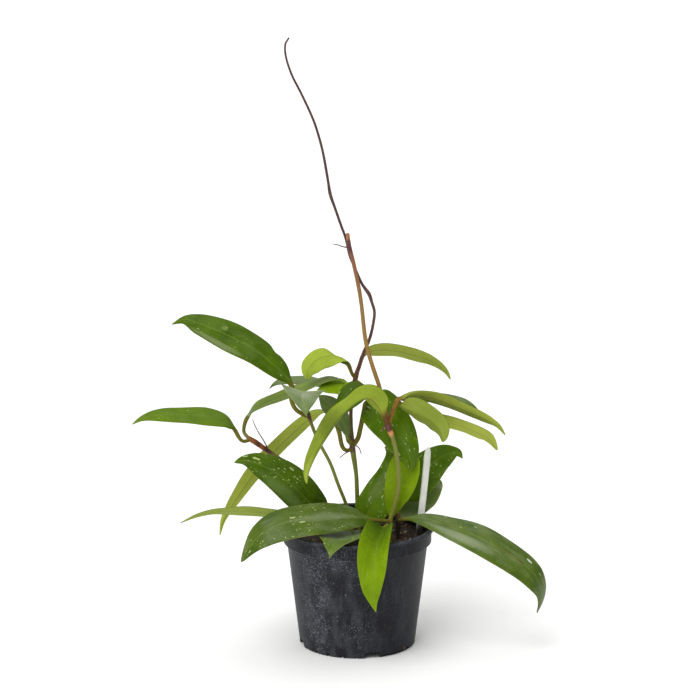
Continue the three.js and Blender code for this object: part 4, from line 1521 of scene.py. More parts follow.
@dataclass(frozen=True)
class Stem:
    """One stem with what grows from it.

    Attributes:
        name: The node that it stands for.
        points: Across, up, back and radius of each point, in millimetres.
        bark: Colours along it, from the soil to its end.
        rootlets: Layout points of thin roots along it.
        shoot: Points of a side shoot, as the stem's own.
    """

    name: str
    points: Sequence[Girth]
    bark: Sequence[tuple[float, Colour]]
    rootlets: Sequence[Sequence[Layout]] = ()
    shoot: Sequence[Girth] = ()


@dataclass(frozen=True)
class StemFinish:
    """The bark of one stem, which changes colour along it.

    Attributes:
        stem: The stem.
        cork: Light streaks.
        crack: Dark streaks.
        speck: Small pale specks.
        root: The rootlets.
        stray: How far a change of colour strays along the stem.
        rough: Its roughness.
        relief: How deep the relief is, in metres.
    """

    stem: Stem
    cork: Wash = Wash(tint(150, 120, 66), 1.3)
    crack: Wash = Wash(tint(40, 26, 18), 1.6)
    speck: Wash = Wash(tint(178, 158, 110), 0.5)
    root: Wash = Wash(tint(96, 60, 54))
    stray: float = 0.012
    rough: float = 0.5
    relief: float = 0.00022

    def material(self) -> Material:
        """Makes the stem's material.

        Returns:
            The material.
        """
        kit = FinishKit(self.stem.name + "_finish")
        lay, size = kit.note("lay"), kit.note("size")
        _, along, _ = kit.split(lay)
        streak = kit.cloud(kit.stretch(size, (8.0, 1.2, 8.0)), 1.0, 3.0, 0.6)
        fine = kit.cloud(size, 14.0, 3.0, 0.6)
        specks, _ = kit.specks(kit.stretch(size, (3.2, 2.2, 3.2)), 3.0, 0.6, 0.5, 0.08)
        colour = kit.ramp(along.lowest(1.0) + (streak - 0.5) * self.stray, self.stem.bark)
        colour = kit.wash((streak - 0.5).highest(0.0), colour, self.cork)
        colour = kit.wash((0.45 - streak).highest(0.0), colour, self.crack)
        colour = kit.wash(specks, colour, self.speck)
        colour = kit.wash(along.ease(1.6, 1.9), colour, self.root)
        rough = (fine - 0.5) * 0.25 + self.rough
        return kit.finish(colour, rough, streak * 0.6 + fine * 0.5, self.relief)


@dataclass
class StemMaker:
    """Builds and dresses a stem.

    Attributes:
        around: Cells round a stem.
        pace: Length of a cell along it, in millimetres.
        fewest: Fewest cells along it.
        root: Radius of a rootlet, in millimetres.
        root_taper: How much thinner a rootlet gets towards its end, as a share.
        shoot_start: Where on the stem's colours its shoot starts.
        root_start: Added to a rootlet's share along, which tells it from bark.
        uneven: How uneven its girth is, as a share.
        lumps: Lumps per metre.
        core: Radius of the patterns' place round it, in centimetres.
    """

    around: int = 12
    pace: float = 1.6
    fewest: int = 8
    root: float = 0.55
    root_taper: float = 0.55
    shoot_start: float = 0.45
    root_start: float = 2.0
    uneven: float = 0.05
    lumps: float = 260
    core: float = 0.3

    def build(self, stem: Stem) -> Piece:
        """Models one stem, its shoot and its rootlets.

        Args:
            stem: The stem.

        Returns:
            The joined piece.
        """
        parts = [self._tube(stem.name + "_main", stem.points, 0.0)]
        if stem.shoot:
            parts.append(self._tube(stem.name + "_shoot", stem.shoot, self.shoot_start))
        for i, root in enumerate(stem.rootlets):
            thin = [
                (*p, self.root * (1 - self.root_taper * k / len(root))) for k, p in enumerate(root)
            ]
            parts.append(self._tube(f"{stem.name}_root_{i}", thin, self.root_start))
        piece = Bench.join(stem.name + "_bark", parts)
        Bench.smooth(piece, levels=1)
        Bench.dress(piece, StemFinish(stem).material())
        return piece

    def _tube(self, name: str, points: Sequence[Girth], start: float) -> Piece:
        """Rolls a tube of changing radius along points.

        Args:
            name: Its name.
            points: Across, up, back and radius.
            start: Added to its share along, which picks its colour.

        Returns:
            The tube.
        """
        rib = Rib([SIGHT.point(p) for p in points])
        facings = rib.carried(Vector((0, -1, 0)), 0.0)
        radii = [p[3] for p in points]

        def radius(share: float) -> float:
            """Gives the radius at a place along the tube.

            Args:
                share: Share of the length.

            Returns:
                The radius in millimetres.
            """
            i = max(1, next((k for k, knot in enumerate(rib.knots) if knot >= share - 1e-9), 1))
            part = (share - rib.knots[i - 1]) / (rib.knots[i] - rib.knots[i - 1])
            return mix(radii[i - 1], radii[i], smooth_step(part))

        def place(around: float, share: float) -> tuple[Vector, Vector, Vector]:
            """Places one point of the skin.

            Args:
                around: Share of the way round.
                share: Share of the length.

            Returns:
                Its place, its shares round and along, and its place in centimetres.
            """
            angle = 2 * math.pi * around
            right, over = math.cos(angle), math.sin(angle)
            facing = facings[round(share * (len(facings) - 1))]
            side = facing.cross(rib.heading(share)).normalized()
            spot = rib.at(share)
            lump = noise.noise(spot * self.lumps + Vector((right, over, 0)))
            reach = radius(share) * (1 + self.uneven * lump) * MM
            size = Vector((right * self.core, share * rib.length * 100, over * self.core))
            spot = spot + (side * right + facing * over) * reach
            return spot, Vector((right, share + start, over)), size

        along = max(self.fewest, round(rib.length / MM / self.pace))
        return Bench.roll(name, self.around, along, place)


OLIVE = tint(118, 124, 34)
OCHRE = tint(136, 104, 38)
PINK = tint(204, 140, 84)
BROWN = tint(104, 62, 34)
MAROON = tint(84, 32, 34)
DUSK = tint(60, 34, 34)

STEMS: tuple[Stem, ...] = (
    Stem(
        "stem_middle",
        [(3, 62, 18, 1.8), (2, 84, 18, 1.8), (0, 104, 16, 1.8), (-1, 127, 14, 1.7),
         (-4, 149, 12, 2.4), (-5, 165, 12, 1.6), (-5, 177, 11.5, 1.5), (-3.5, 189, 11, 1.5),
         (-1.5, 202, 10, 2.1), (1.5, 212, 8, 1.5), (5, 222, 5, 1.4), (9, 231, 2, 1.3),
         (12, 243, 0, 1.2), (13, 253, 0, 1.2), (11, 260, 0, 1.2), (9, 266, 0, 1.6),
         (3.5, 274, 2, 1.2), (-1, 284, 3, 1.1), (-6, 296, 3.5, 1.1), (-9, 309, 2.5, 1.1),
         (-13, 320, 1, 1.1), (-17.5, 333, 0, 1.1), (-21, 343, 0, 1.4), (-22.5, 352, 0, 1.1),
         (-24.5, 364, 0, 1.1), (-27.5, 379, 0, 1.05), (-33.5, 399, 0, 1), (-43, 420, 0, 0.95),
         (-51, 436, 0, 0.9), (-55.5, 451, 0, 0.85), (-55.5, 459, 0, 0.8), (-52.5, 464, 0, 0.65)],
        [(0.0, OLIVE), (0.207, OLIVE), (0.211, tint(92, 52, 50)), (0.22, tint(92, 66, 40)),
         (0.28, tint(104, 70, 38)), (0.3, tint(92, 44, 40)), (0.33, BROWN),
         (0.42, tint(82, 40, 36)), (0.6, DUSK), (1.0, tint(66, 34, 32))],
        rootlets=[
            [(-4, 146, 12), (-9, 144, 8), (-14, 140, 5)],
            [(-3.5, 151, 12), (1, 148, 9), (3, 143, 8)],
        ],
    ),
    Stem(
        "stem_front",
        [(25, 59, -12, 1.9), (25, 77, -12, 1.9), (25, 91, -14, 1.9), (28, 102, -15, 1.9),
         (31, 115, -17.5, 1.9), (31.5, 126, -19.5, 1.9), (30.5, 140, -21.5, 1.8),
         (27.5, 154, -22.5, 1.8), (23.5, 165, -22, 2.6), (20.5, 181, -20, 1.7),
         (16.5, 196, -17, 1.7), (11, 212.5, -12, 1.7), (6.5, 229, -7, 1.7), (3, 258, -3, 1.6),
         (1, 271, -2.5, 1.6), (-1.5, 283, -2, 1.6), (-4, 294, -1.5, 1.6), (-6.5, 303, -1, 1.9),
         (-7.7, 313.5, -1, 1.5)],
        [(0.0, OLIVE), (0.2, OLIVE), (0.4, tint(112, 116, 34)), (0.404, PINK),
         (0.412, PINK), (0.418, MAROON), (0.45, tint(104, 52, 44)), (0.47, OCHRE), (0.5, OCHRE),
         (0.78, tint(138, 104, 40)), (0.85, tint(136, 90, 44)), (0.935, tint(124, 72, 46)),
         (0.95, MAROON), (0.978, MAROON), (0.985, tint(156, 100, 58)), (1.0, tint(156, 100, 58))],
        rootlets=[
            [(-6.5, 302, -1), (-12, 303, -4), (-16, 304.5, -6), (-19, 304.5, -7)],
            [(22.5, 166, -23), (19.5, 163, -26), (18.5, 160, -27)],
        ],
        shoot=[(23.5, 165, -22, 1.7), (26.5, 175, -17, 1.6), (29.5, 182, -11, 1.6),
               (31, 185.5, -6, 1.8)],
    ),
    Stem(
        "stem_left",
        [(2, 62, 0, 1.4), (-2, 81, 1, 1.4), (-7.5, 101, -3, 1.4), (-15, 120, -8, 1.4),
         (-21, 136, -12, 1.4), (-30.5, 154, -16, 1.4), (-36.5, 169, -19, 1.5),
         (-38.5, 175, -20, 2.1)],
        [(0.0, OLIVE), (0.93, OLIVE), (0.965, MAROON), (1.0, DUSK)],
    ),
    Stem(
        "stem_far_left",
        [(-22, 63, 12, 1.9), (-22, 83, 12, 1.9), (-27, 100, 18, 1.9), (-35, 114, 24, 1.8),
         (-43, 127.5, 26, 1.7), (-55, 136, 24, 1.7), (-66, 143.5, 20, 1.8), (-73, 148.3, 16, 2.1),
         (-79, 152.5, 13, 2.3), (-85, 156, 11, 2)],
        [(0.0, OLIVE), (0.74, tint(134, 124, 66)), (0.8, tint(124, 104, 60)), (0.83, MAROON),
         (0.86, tint(84, 36, 40)), (0.89, tint(168, 88, 44)), (0.92, MAROON),
         (0.96, tint(156, 84, 42)), (1.0, tint(128, 96, 40))],
        rootlets=[
            [(-69, 147, 18), (-72, 153, 13), (-75.5, 158.5, 12), (-79, 165, 10), (-81, 170, 9)]
        ],
    ),
    Stem(
        "stem_stub",
        [(31, 63, -1, 1.8), (31, 78, -1, 1.8), (31.2, 92, -1, 2.1), (30.6, 102, 0, 1.9)],
        # painted shade: the lower part of the stub is darkened
        [(0.0, tint(30, 24, 18)), (0.72, tint(44, 34, 22)), (0.79, tint(104, 78, 38)),
         (1.0, tint(150, 108, 62))],
    ),
)


# ---------- pot, potting mix and label ----------


@dataclass(frozen=True)
class Finish:
    """What the finishes of the pot, the mix and the label share.

    Attributes:
        name: Its name.
        deep: Its darker colour.
        pale: Its lighter colour.
        rough: Its roughness before any dirt.
        relief: How deep the relief is, in metres.
    """

    name: str
    deep: Colour
    pale: Colour
    rough: float
    relief: float

    def material(self) -> Material:
        """Makes the finish.

        Returns:
            The material.
        """
        raise NotImplementedError


@dataclass(frozen=True)
class BlackPlastic(Finish):
    """The dusty black plastic of the pot.

    Attributes:
        dust_and_light_haze: Thin dust in soft drifts, thicker on the lit left, where it is also
            painted light.
        powder: Fine dust.
        dust: Grains and flakes of dust.
        scratch: Upright scratches.
        soil: Specks of soil at the foot and on the lip.
        roll: Painted highlights on the rolled edge of the lip.
        edge: Painted highlights on the step under the lip, on the lit left.
        mirror: How much of its surroundings it mirrors.
    """

    name: str = "black_plastic"
    deep: Colour = tint(16, 16, 20)
    pale: Colour = tint(27, 27, 33)
    rough: float = 0.42
    relief: float = 0.00012
    dust_and_light_haze: Wash = Wash(tint(120, 124, 130), 0.16)
    powder: Wash = Wash(tint(98, 100, 112), 0.36)
    dust: Wash = Wash(tint(132, 136, 148), 0.42)
    scratch: Wash = Wash(tint(120, 122, 128), 0.16)
    soil: Wash = Wash(tint(122, 86, 60), 0.9)
    roll: Wash = Wash(tint(104, 112, 128))
    edge: Wash = Wash(tint(150, 156, 164), 0.6)
    mirror: float = 0.16

    def material(self) -> Material:
        """Makes the plastic, dustier and lighter towards the front left: real dust, and painted
        light on the pot's lit side.

        Returns:
            The material.
        """
        kit = FinishKit(self.name)
        spot = kit.spot()
        x, y, z = kit.split(spot)
        broad, fine = kit.cloud(spot, 22.0, 3.0), kit.cloud(spot, 900.0, 3.0, 0.65)
        front, left, body = y.ease(0.005, -0.02), x.ease(0.022, -0.02), z.ease(0.083, 0.079)
        # more dust towards the front left, which also paints light on the lit side
        share = (left * 0.62 + 0.38) * (front * 0.5 + 0.5) * (body * 0.15 + 0.85)
        patch = kit.cloud(spot, 48.0).ease(0.36, 0.62)
        grains, pick = kit.specks(spot, 820.0, 0.2, (patch * 0.75 + 0.3) * share, 0.2)
        grains = grains * (pick * 0.5 + 0.35)
        upright = kit.stretch(spot, (1.0, 1.0, 0.7))
        flakes, _ = kit.specks(upright, 330.0, 0.76, share * 1.5, 0.12)
        lit_dust_drift = kit.cloud(kit.stretch(spot, (1.0, 1.0, 0.35)), 130.0).ease(0.42, 0.66) * share
        powder = fine.ease(0.4, 0.72) * (patch * 0.6 + 0.4) * share
        scratch = kit.cloud(kit.stretch(spot, (1.0, 1.0, 0.06)), 420.0).ease(0.66, 0.74)
        dirty = z.ease(0.014, 0.002) + x.ease(0.02, 0.05) * z.ease(0.078, 0.084) * 0.8
        soil, _ = kit.specks(spot, 330.0, 0.6, dirty, 0.1)
        # painted highlights along the rolled lip and on the step under it
        roll = z.ease(0.0926, 0.0946) * (fine.ease(0.45, 0.65) * 0.42 + 0.04)
        edge = abs(z - 0.0817).ease(0.0007, 0.0002) * left * fine.ease(0.35, 0.6)

        colour = kit.blend(broad * 0.8 + fine * 0.4 - 0.1, self.deep, self.pale)
        for mask, wash in (
            (lit_dust_drift, self.dust_and_light_haze),
            (powder, self.powder),
            (grains.highest(flakes * 0.7), self.dust),
            (scratch, self.scratch),
            (soil, self.soil),
            (roll, self.roll),
            (edge, self.edge),
        ):
            colour = kit.wash(mask, colour, wash)
        rough = broad * 0.14 + grains * 0.3 + lit_dust_drift * self.dust_and_light_haze.strength + self.rough
        height = fine * 0.6 + grains * 0.5
        return kit.finish(colour, rough, height, self.relief, Specular_IOR_Level=self.mirror)


@dataclass
class Pot:
    """The thin black nursery pot.

    Attributes:
        turns: Points round it.
        profile: Radius and height from the foot's outside over the lip to the inner floor.
        notches: How many small cuts the foot has, and their depth, width and height.
        drains: How many wide cuts the foot has, and their depth, width and height.
        first_drain: Where the first wide cut lies, in degrees.
        notch_gap: Turn from one small cut to the next, in radians.
        proud: How far a cutter stands out of the foot, in millimetres.
        below: How far a cutter reaches below the foot, in millimetres.
        cut_round: Radius of a cut's corners, in millimetres.
        crease: Degrees past which an edge stays sharp.
    """

    turns: int = 192
    profile: Sequence[tuple[float, float]] = (
        (0, 2.2), (41.6, 2.2), (42.0, 1.6), (42.3, 0.0), (44.6, 0.0), (45.2, 0.6), (54.9, 81.0),
        (55.3, 81.6), (57.2, 81.9), (57.8, 82.6), (57.8, 91.6), (58.1, 92.0), (59.5, 92.0),
        (60.0, 92.5), (60.0, 94.3), (59.3, 95.0), (56.9, 95.0), (56.3, 94.4), (56.0, 83.4),
        (53.8, 80.5), (44.3, 5.7), (42.8, 4.2), (0, 4.2),
    )
    notches: tuple[int, float, float, float] = (20, 5.2, 2.3, 2.1)
    drains: tuple[int, float, float, float] = (4, 12.0, 12.0, 4.4)
    first_drain: float = -75.0
    notch_gap: float = 0.253
    proud: float = 1.6
    below: float = 1.0
    cut_round: float = 0.6
    crease: float = 32

    def build(self) -> Piece:
        """Turns the pot ring by ring and cuts its foot.

        Returns:
            The finished piece.
        """
        Bench.clear()
        radius, height = (size * MM for size in self.profile[1])
        bpy.ops.mesh.primitive_circle_add(
            vertices=self.turns, radius=radius, fill_type="TRIFAN", location=(0, 0, height)
        )
        piece = Bench.named("pot_shell")
        Bench.settle(piece)
        Bench.edit(piece)
        bpy.ops.mesh.region_to_loop()
        for (r0, z0), (r1, z1) in zip(self.profile[1:], self.profile[2:-1]):
            bpy.ops.mesh.extrude_region_move(
                TRANSFORM_OT_translate={"value": (0, 0, (z1 - z0) * MM)}
            )
            bpy.ops.transform.resize(value=(r1 / r0, r1 / r0, 1), center_override=(0, 0, z1 * MM))
        bpy.ops.mesh.extrude_region_move()
        bpy.ops.mesh.merge(type="CENTER")
        Bench.outward()
        Bench.done()
        quarter = math.radians(360 / self.drains[0])
        first = math.radians(self.first_drain)
        for i in range(self.drains[0]):
            self._cut(piece, self.drains[1:], first + i * quarter)
        group = self.notches[0] // self.drains[0]
        for i in range(self.notches[0]):
            middle = first + (i // group + 0.5) * quarter
            turn = (i % group - (group - 1) / 2) * self.notch_gap
            self._cut(piece, self.notches[1:], middle + turn)
        Bench.smooth(piece, angle=self.crease)
        Bench.dress(piece, BlackPlastic().material())
        return piece

    def _cut(self, piece: Piece, size: Sequence[float], angle: float) -> None:
        """Cuts one opening into the foot's rim.

        Args:
            piece: The pot.
            size: Its depth, width and height in millimetres.
            angle: Where it lies, in radians.
        """
        depth, width, tall = size
        Bench.clear()
        bpy.ops.mesh.primitive_cube_add(size=1)
        cutter = Bench.named("foot_cutter")
        cutter.scale = (depth * MM, width * MM, (tall + self.below) * MM)
        Bench.settle(cutter)
        Bench.modify(cutter, "BEVEL", width=self.cut_round * MM, segments=2)
        reach = (self.profile[4][0] + self.proud - depth / 2) * MM
        centre = Matrix.Translation((reach, 0, (tall - self.below) / 2 * MM))
        cutter.data.transform(Matrix.Rotation(angle, 4, "Z") @ centre)
        Bench.modify(piece, "BOOLEAN", operation="DIFFERENCE", object=cutter, solver="EXACT")
        bpy.data.objects.remove(cutter)


@dataclass(frozen=True)
class Peat(Finish):
    """The dark surface of the mix: its own dark brown, made darker still as painted shade inside
    the pot.

    Attributes:
        crumb: Pale crumbs.
    """

    name: str = "peat"
    # painted shade: darker than the mix is, for the shade inside the pot
    deep: Colour = tint(17, 13, 10)
    pale: Colour = tint(48, 36, 27)
    rough: float = 0.9
    relief: float = 0.0009
    crumb: Wash = Wash(tint(110, 84, 58), 0.55)

    def material(self) -> Material:
        """Makes the mix.

        Returns:
            The material.
        """
        kit = FinishKit(self.name)
        spot = kit.spot()
        broad, fine = kit.cloud(spot, 90.0, 3.0), kit.cloud(spot, 700.0, 4.0, 0.7)
        colour = kit.blend(broad * 0.6 + fine * 0.5 - 0.1, self.deep, self.pale)
        distance, pick = kit.cells(spot, 520.0)
        crumbs = distance.ease(0.42, 0.1) * pick.ease(0.5, 0.9)
        colour = kit.wash(crumbs, colour, self.crumb)
        return kit.finish(colour, self.rough - fine * 0.15, fine + crumbs * 0.6, self.relief)


@dataclass(frozen=True)
class Bark(Finish):
    """The brown of bark chips, or of lighter fibres.

    Attributes:
        light: How much lighter than bark it is.
    """

    name: str = "bark"
    deep: Colour = tint(30, 20, 14)
    pale: Colour = tint(112, 78, 50)
    rough: float = 0.85
    relief: float = 0.0005
    light: float = 1.0

    def material(self) -> Material:
        """Makes the bark, each chip in a tone of its own.

        Returns:
            The material.
        """
        kit = FinishKit(self.name)
        grain = kit.cloud(kit.stretch(kit.spot(), (1.0, 3.0, 3.0)), 420.0, 3.0, 0.6)
        share = (kit.pick() * 0.7 + grain * 0.5 - 0.1) * self.light
        colour = kit.blend(share.clamped(), self.deep, self.pale)
        return kit.finish(colour, self.rough, grain, self.relief)


@dataclass(frozen=True)
class Perlite(Finish):
    """The white, slightly soiled perlite."""

    name: str = "perlite"
    deep: Colour = tint(178, 170, 154)
    pale: Colour = tint(238, 236, 228)
    rough: float = 0.8
    relief: float = 0.0004

    def material(self) -> Material:
        """Makes the perlite.

        Returns:
            The material.
        """
        kit = FinishKit(self.name)
        grain = kit.cloud(kit.spot(), 800.0, 3.0, 0.6)
        colour = kit.blend(grain.ease(0.35, 0.7), self.deep, self.pale)
        return kit.finish(colour, self.rough, grain, self.relief)


FIBRE = Bark("fibre_finish", light=1.5)


@dataclass(frozen=True)
class Litter:
    """One kind of crumb that lies loose on the mix.

    Attributes:
        name: Name of its piece.
        finish: Its finish.
        count: How many there are.
        shape: Length, width and height of one against its size.
        ragged: How uneven one is.
        size: Smallest and largest size in millimetres.
        flat: How flat they lie, 1 for quite flat.
        sink: Share of the size that they sink by.
    """

    name: str
    finish: Finish
    count: int
    shape: tuple[float, float, float]
    ragged: float
    size: tuple[float, float]
    flat: float
    sink: float


@dataclass
class PottingMix:
    """The dark mix of bark, peat and perlite that fills the pot.

    Attributes:
        level: Height of its surface in millimetres.
        radius: Radius of its surface in millimetres.
        depth: How far its side reaches down in millimetres.
        taper: Radius of its underside against its surface's.
        cells: Cells across its surface.
        lumps: Height of its lumps in millimetres and lumps per millimetre, by size.
        lump_slice: Where the noise behind the lumps is read.
        calm: How much the lumps fade towards the wall, as a share.
        edge: Share of the radius where it starts to drop, and the drop over a tenth.
        margin: Bare ring at the wall, in millimetres.
        crease: Degrees past which an edge stays sharp, on the mix and on a crumb.
        crumb_lumps: Lumps along a crumb, and how far apart the kinds' lumps are read.
        crumb_rest: How high a crumb's middle lies against its size.
        litter_kinds: What lies loose on it.
        seed: Seed of the scatter.
    """

    level: float = 84.0
    radius: float = 53.6
    depth: float = 26.0
    taper: float = 0.94
    cells: int = 110
    lumps: Sequence[tuple[float, float]] = ((1.5, 0.06), (0.8, 0.25), (0.4, 0.9))
    lump_slice: float = 3.0
    calm: float = 0.5
    edge: tuple[float, float] = (0.9, 1.4)
    margin: float = 3
    crease: tuple[float, float] = (50, 40)
    crumb_lumps: tuple[float, float] = (3.1, 7.0)
    crumb_rest: float = 0.6
    litter_kinds: Sequence[Litter] = (
        Litter("bark_chips", Bark(), 420, (1, 0.62, 0.36), 1.1, (1.6, 6), 0.7, 0.45),
        Litter("peat_fibres", FIBRE, 60, (2.2, 0.09, 0.09), 0.8, (3, 7), 0.85, 0),
        Litter("perlite_grains", Perlite(), 46, (1, 0.85, 0.8), 0.9, (1.2, 3.6), 0.2, 0.3),
    )
    seed: int = 11
    stock: random.Random = field(init=False)

    def __post_init__(self) -> None:
        """Seeds the scatter."""
        self.stock = random.Random(self.seed)

    def _height(self, x: float, y: float) -> float:
        """Gives the surface's height at a place.

        Args:
            x: Millimetres to the right.
            y: Millimetres back.

        Returns:
            The height in millimetres.
        """
        reach = math.hypot(x, y) / self.radius
        spot = Vector((x, y, self.lump_slice))
        lumps = sum(tall * noise.noise(spot * pace) for tall, pace in self.lumps)
        start, drop = self.edge
        return self.level + lumps * (1 - self.calm * reach**6) - drop * max(0.0, reach - start) * 10

    def build(self) -> Piece:
        """Models the plug of mix with a crumbly top.

        Returns:
            The finished piece.
        """
        piece = Bench.sheet("potting_mix", self.cells, self.cells)
        for vertex in piece.data.vertices:
            a, b = vertex.co.x, vertex.co.y
            x = a * math.sqrt(1 - b * b / 2) * self.radius
            y = b * math.sqrt(1 - a * a / 2) * self.radius
            vertex.co = Vector((x, y, self._height(x, y))) * MM
        Bench.edit(piece)
        bpy.ops.mesh.region_to_loop()
        bpy.ops.mesh.extrude_region_move(TRANSFORM_OT_translate={"value": (0, 0, -self.depth * MM)})
        floor = (0, 0, (self.level - self.depth) * MM)
        bpy.ops.transform.resize(value=(self.taper, self.taper, 0), center_override=floor)
        bpy.ops.mesh.edge_face_add()
        Bench.outward()
        Bench.done()
        Bench.smooth(piece, angle=self.crease[0])
        Bench.dress(piece, Peat().material())
        return piece

    def _scatter(self, kind: Litter) -> list[Matrix]:
        """Scatters places for one kind of crumb over the surface.

        Args:
            kind: The kind.

        Returns:
            The places.
        """
        places = []
        draw, lean = self.stock.uniform, (1 - kind.flat) * 2
        for _ in range(kind.count):
            reach = math.sqrt(self.stock.random()) * (self.radius - self.margin)
            angle = draw(0, 2 * math.pi)
            x, y = reach * math.cos(angle), reach * math.sin(angle)
            scale = mix(*kind.size, self.stock.random() ** 2)
            turn = Euler((draw(-1, 1) * lean, draw(-1, 1) * lean, draw(0, 6.28)))
            lift = self._height(x, y) + scale * (0.5 - kind.sink) * self.crumb_rest
            place = Matrix.Translation(Vector((x, y, lift)) * MM) @ turn.to_matrix().to_4x4()
            places.append(place @ Matrix.Diagonal((scale * MM, scale * MM, scale * MM, 1)))
        return places

    def _crumb(self, kind: Litter) -> Piece:
        """Models one crumb, about one unit long.

        Args:
            kind: The kind.

        Returns:
            The crumb.
        """
        Bench.clear()
        bpy.ops.mesh.primitive_ico_sphere_add(subdivisions=2, radius=0.5)
        crumb = Bench.named("crumb")
        pace, apart = self.crumb_lumps
        for vertex in crumb.data.vertices:
            swell = 1 + kind.ragged * noise.noise(vertex.co * pace + Vector(kind.shape) * apart)
            vertex.co = Vector([c * s * swell for c, s in zip(vertex.co, kind.shape)])
        Bench.smooth(crumb, angle=self.crease[1])
        return crumb

    def litter(self) -> list[Piece]:
        """Models the bark chips, fibres and perlite that lie on the mix.

        Returns:
            The pieces.
        """
        pieces = []
        for kind in self.litter_kinds:
            piece = Bench.copies(kind.name, self._crumb(kind), self._scatter(kind))
            Bench.dress(piece, kind.finish.material())
            pieces.append(piece)
        return pieces


@dataclass(frozen=True)
class WhitePlastic(Finish):
    """The smooth white plastic of the label, dark brown at its foot.

    Attributes:
        dark_foot: Dark brown over its foot.
        dark_span: Height in metres where the dark brown starts, and where it is full.
    """

    name: str = "white_plastic"
    deep: Colour = tint(218, 221, 208)
    pale: Colour = tint(236, 238, 228)
    rough: float = 0.38
    relief: float = 0.00004
    dark_foot: Wash = Wash(tint(58, 46, 36), 0.95)
    dark_span: tuple[float, float] = (0.1, 0.09)

    def material(self) -> Material:
        """Makes the plastic.

        Returns:
            The material.
        """
        kit = FinishKit(self.name)
        spot = kit.spot()
        _, _, z = kit.split(spot)
        broad, fine = kit.cloud(spot, 60.0), kit.cloud(spot, 700.0, 3.0, 0.6)
        colour = kit.blend(broad.ease(0.3, 0.8), self.pale, self.deep)
        # darker brown towards the foot
        dark_foot = z.ease(*self.dark_span) * (fine + 0.5).lowest(1.0)
        colour = kit.wash(dark_foot, colour, self.dark_foot)
        return kit.finish(colour, fine * 0.12 + self.rough, fine, self.relief)


@dataclass
class PlantLabel:
    """The blank white stake pushed into the mix.

    Attributes:
        width: Its width in millimetres.
        thickness: Its thickness in millimetres.
        length: Its length in millimetres.
        taper: Length of its pointed foot.
        point: Width of the foot's point against the full width.
        shoulder: Length of its rounded head.
        roundness: How round the head's outline is, a half circle at 2.
        least: Least half width in millimetres, which keeps the head's end closed.
        bow: How far it bends out at its middle, in millimetres.
        rounding: Radius of its edges, in millimetres.
        crease: Degrees past which an edge stays sharp.
        cells: Cells across and along it.
        crowding: How much closer the cells lie towards the head, more above 1.
        turn: How far its face turns from the front, in degrees.
        foot: Layout point below the foot.
        head: Layout point of the head.
    """

    width: float = 10.0
    thickness: float = 0.9
    length: float = 90.0
    taper: float = 14.0
    point: float = 0.25
    shoulder: float = 7.0
    roundness: float = 1.7
    least: float = 0.02
    bow: float = 0.5
    rounding: float = 0.2
    crease: float = 35
    cells: tuple[int, int] = (6, 60)
    crowding: float = 1.5
    turn: float = 61.0
    foot: Layout = (44.2, 56, 3)
    head: Layout = (54.2, 148.3, 3)

    def _half(self, height: float) -> float:
        """Gives the half width at a height above the foot.

        Args:
            height: The height in millimetres.

        Returns:
            The half width in millimetres.
        """
        full = self.width / 2
        if height < self.taper:
            return mix(self.point, 1.0, height / self.taper) * full
        over = max(0.0, height - (self.length - self.shoulder)) / self.shoulder
        return full * math.sqrt(max(0.0, 1 - over**self.roundness)) + self.least

    def build(self) -> Piece:
        """Shapes the stake from a sheet and gives it its thickness.

        Returns:
            The finished piece.
        """
        foot, head = SIGHT.point(self.foot), SIGHT.point(self.head)
        up = (head - foot).normalized()
        turn = math.radians(self.turn)
        across = Vector((math.cos(turn), math.sin(turn), 0))
        across = (across - up * across.dot(up)).normalized()
        start = head - up * self.length * MM
        piece = Bench.sheet("plant_label", *self.cells)
        for vertex in piece.data.vertices:
            share = (vertex.co.y + 1) / 2
            height = self.length * (1 - (1 - share) ** self.crowding)
            side = vertex.co.x * self._half(height)
            out = across.cross(up) * (self.bow * math.sin(math.pi * share))
            vertex.co = start + (up * height + across * side + out) * MM
        Bench.modify(piece, "SOLIDIFY", thickness=self.thickness * MM, offset=0.0)
        Bench.modify(piece, "BEVEL", width=self.rounding * MM, segments=2, limit_method="ANGLE")
        Bench.smooth(piece, angle=self.crease)
        Bench.dress(piece, WhitePlastic().material())
        return piece


# ---------- studio ----------


@dataclass(frozen=True)
class Lamp:
    """One soft light that falls alike on the plant and the whole floor.

    Attributes:
        name: Its name.
        heading: Where its light goes.
        power: Its strength.
        spread: Its width in degrees, wider is softer.
    """

    name: str
    heading: tuple[float, float, float]
    power: float
    spread: float

    def hang(self) -> None:
        """Adds the light to the scene."""
        data = bpy.data.lights.new(self.name, "SUN")
        data.energy, data.angle = self.power, math.radians(self.spread)
        lamp = bpy.data.objects.new(self.name, data)
        bpy.context.scene.collection.objects.link(lamp)
        lamp.rotation_euler = Vector(self.heading).to_track_quat("-Z", "Y").to_euler()


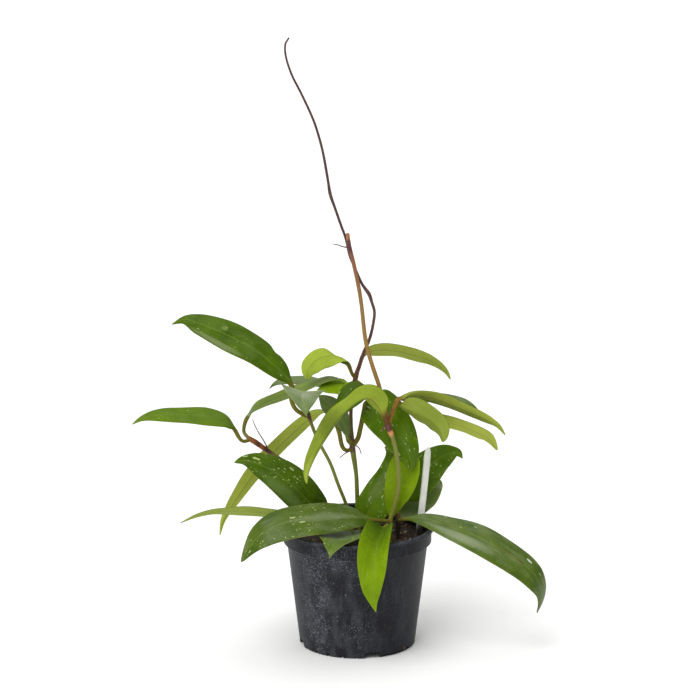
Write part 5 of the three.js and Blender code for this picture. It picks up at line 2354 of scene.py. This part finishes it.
@dataclass
class Studio:
    """The plain pale floor, the soft lights and the camera.

    Attributes:
        floor_size: Side of the floor in metres.
        floor_drop: How far it lies below the pot, in metres.
        paper: Colour of the floor.
        paper_rough: Roughness of the floor.
        sensor: Width of the camera's sensor in millimetres.
        far: How far the camera sees, in metres.
        glow: Strength of the white surroundings.
        lamps: The lights.
    """

    floor_size: float = 60.0
    floor_drop: float = 0.0002
    paper: Colour = tint(246, 246, 246)
    paper_rough: float = 0.9
    sensor: float = 36.0
    far: float = 200.0
    glow: float = 0.3
    lamps: Sequence[Lamp] = (
        Lamp("key", (0.42, 0.62, -1.0), 2.0, 40),
        Lamp("ceiling", (-0.05, -0.3, -1.0), 1.5, 70),
        Lamp("front", (0.3, 1.0, -0.15), 0.6, 60),
    )

    def build(self) -> None:
        """Sets up the camera, the lights, the surroundings and the floor."""
        scene = bpy.context.scene
        scene.view_settings.view_transform = "Standard"
        lens = bpy.data.cameras.new("front_camera")
        lens.sensor_width = self.sensor
        lens.lens = self.sensor * SIGHT.distance / SIGHT.frame
        lens.clip_end = self.far
        camera = bpy.data.objects.new("front_camera", lens)
        scene.collection.objects.link(camera)
        camera.location = SIGHT.eye()
        camera.rotation_euler = (math.pi / 2 - SIGHT.pitch, 0, 0)
        scene.camera = camera
        for lamp in self.lamps:
            lamp.hang()
        world = bpy.data.worlds.new("surroundings")
        scene.world = world
        world.use_nodes = True
        sky = world.node_tree.nodes["Background"]
        sky.inputs["Color"].default_value = (1, 1, 1, 1)
        sky.inputs["Strength"].default_value = self.glow
        Bench.clear()
        bpy.ops.mesh.primitive_plane_add(size=self.floor_size, location=(0, 0, -self.floor_drop))
        floor = Bench.named("studio_floor")
        Bench.dress(floor, FinishKit("floor_paper").finish(self.paper, self.paper_rough))


def seat(piece: Piece, slot: str, *nodes: str) -> None:
    """Hands a finished piece over to the frame.

    Args:
        piece: The piece.
        slot: The record's slot for it; not used.
        nodes: The CAD nodes that it stands for.
    """
    if nodes:
        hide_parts(*nodes)
    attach(piece, "root")
    LOG.info("%s: %d faces", piece.name, len(piece.data.polygons))


def main() -> None:
    """Builds the plant piece by piece."""
    logging.basicConfig(level=logging.INFO, format="%(name)s %(message)s")
    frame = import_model()
    slots = {row["node"]: row["material_slot"] for row in frame["record"]["subparts"]}
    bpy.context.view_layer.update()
    Studio().build()
    seat(Pot().build(), "pot", "pot")
    potting_mix = PottingMix()
    seat(potting_mix.build(), "soil", "soil")
    for piece in potting_mix.litter():
        seat(piece, "soil")
    seat(PlantLabel().build(), "label", "label")
    stem_maker, leaf_maker = StemMaker(), LeafMaker()
    for stem in STEMS:
        seat(stem_maker.build(stem), slots[stem.name], stem.name)
    for leaf in LEAVES:
        seat(leaf_maker.build(leaf), slots[leaf.name], leaf.name)
    Bench.clear()


if __name__ == "__main__":
    main()
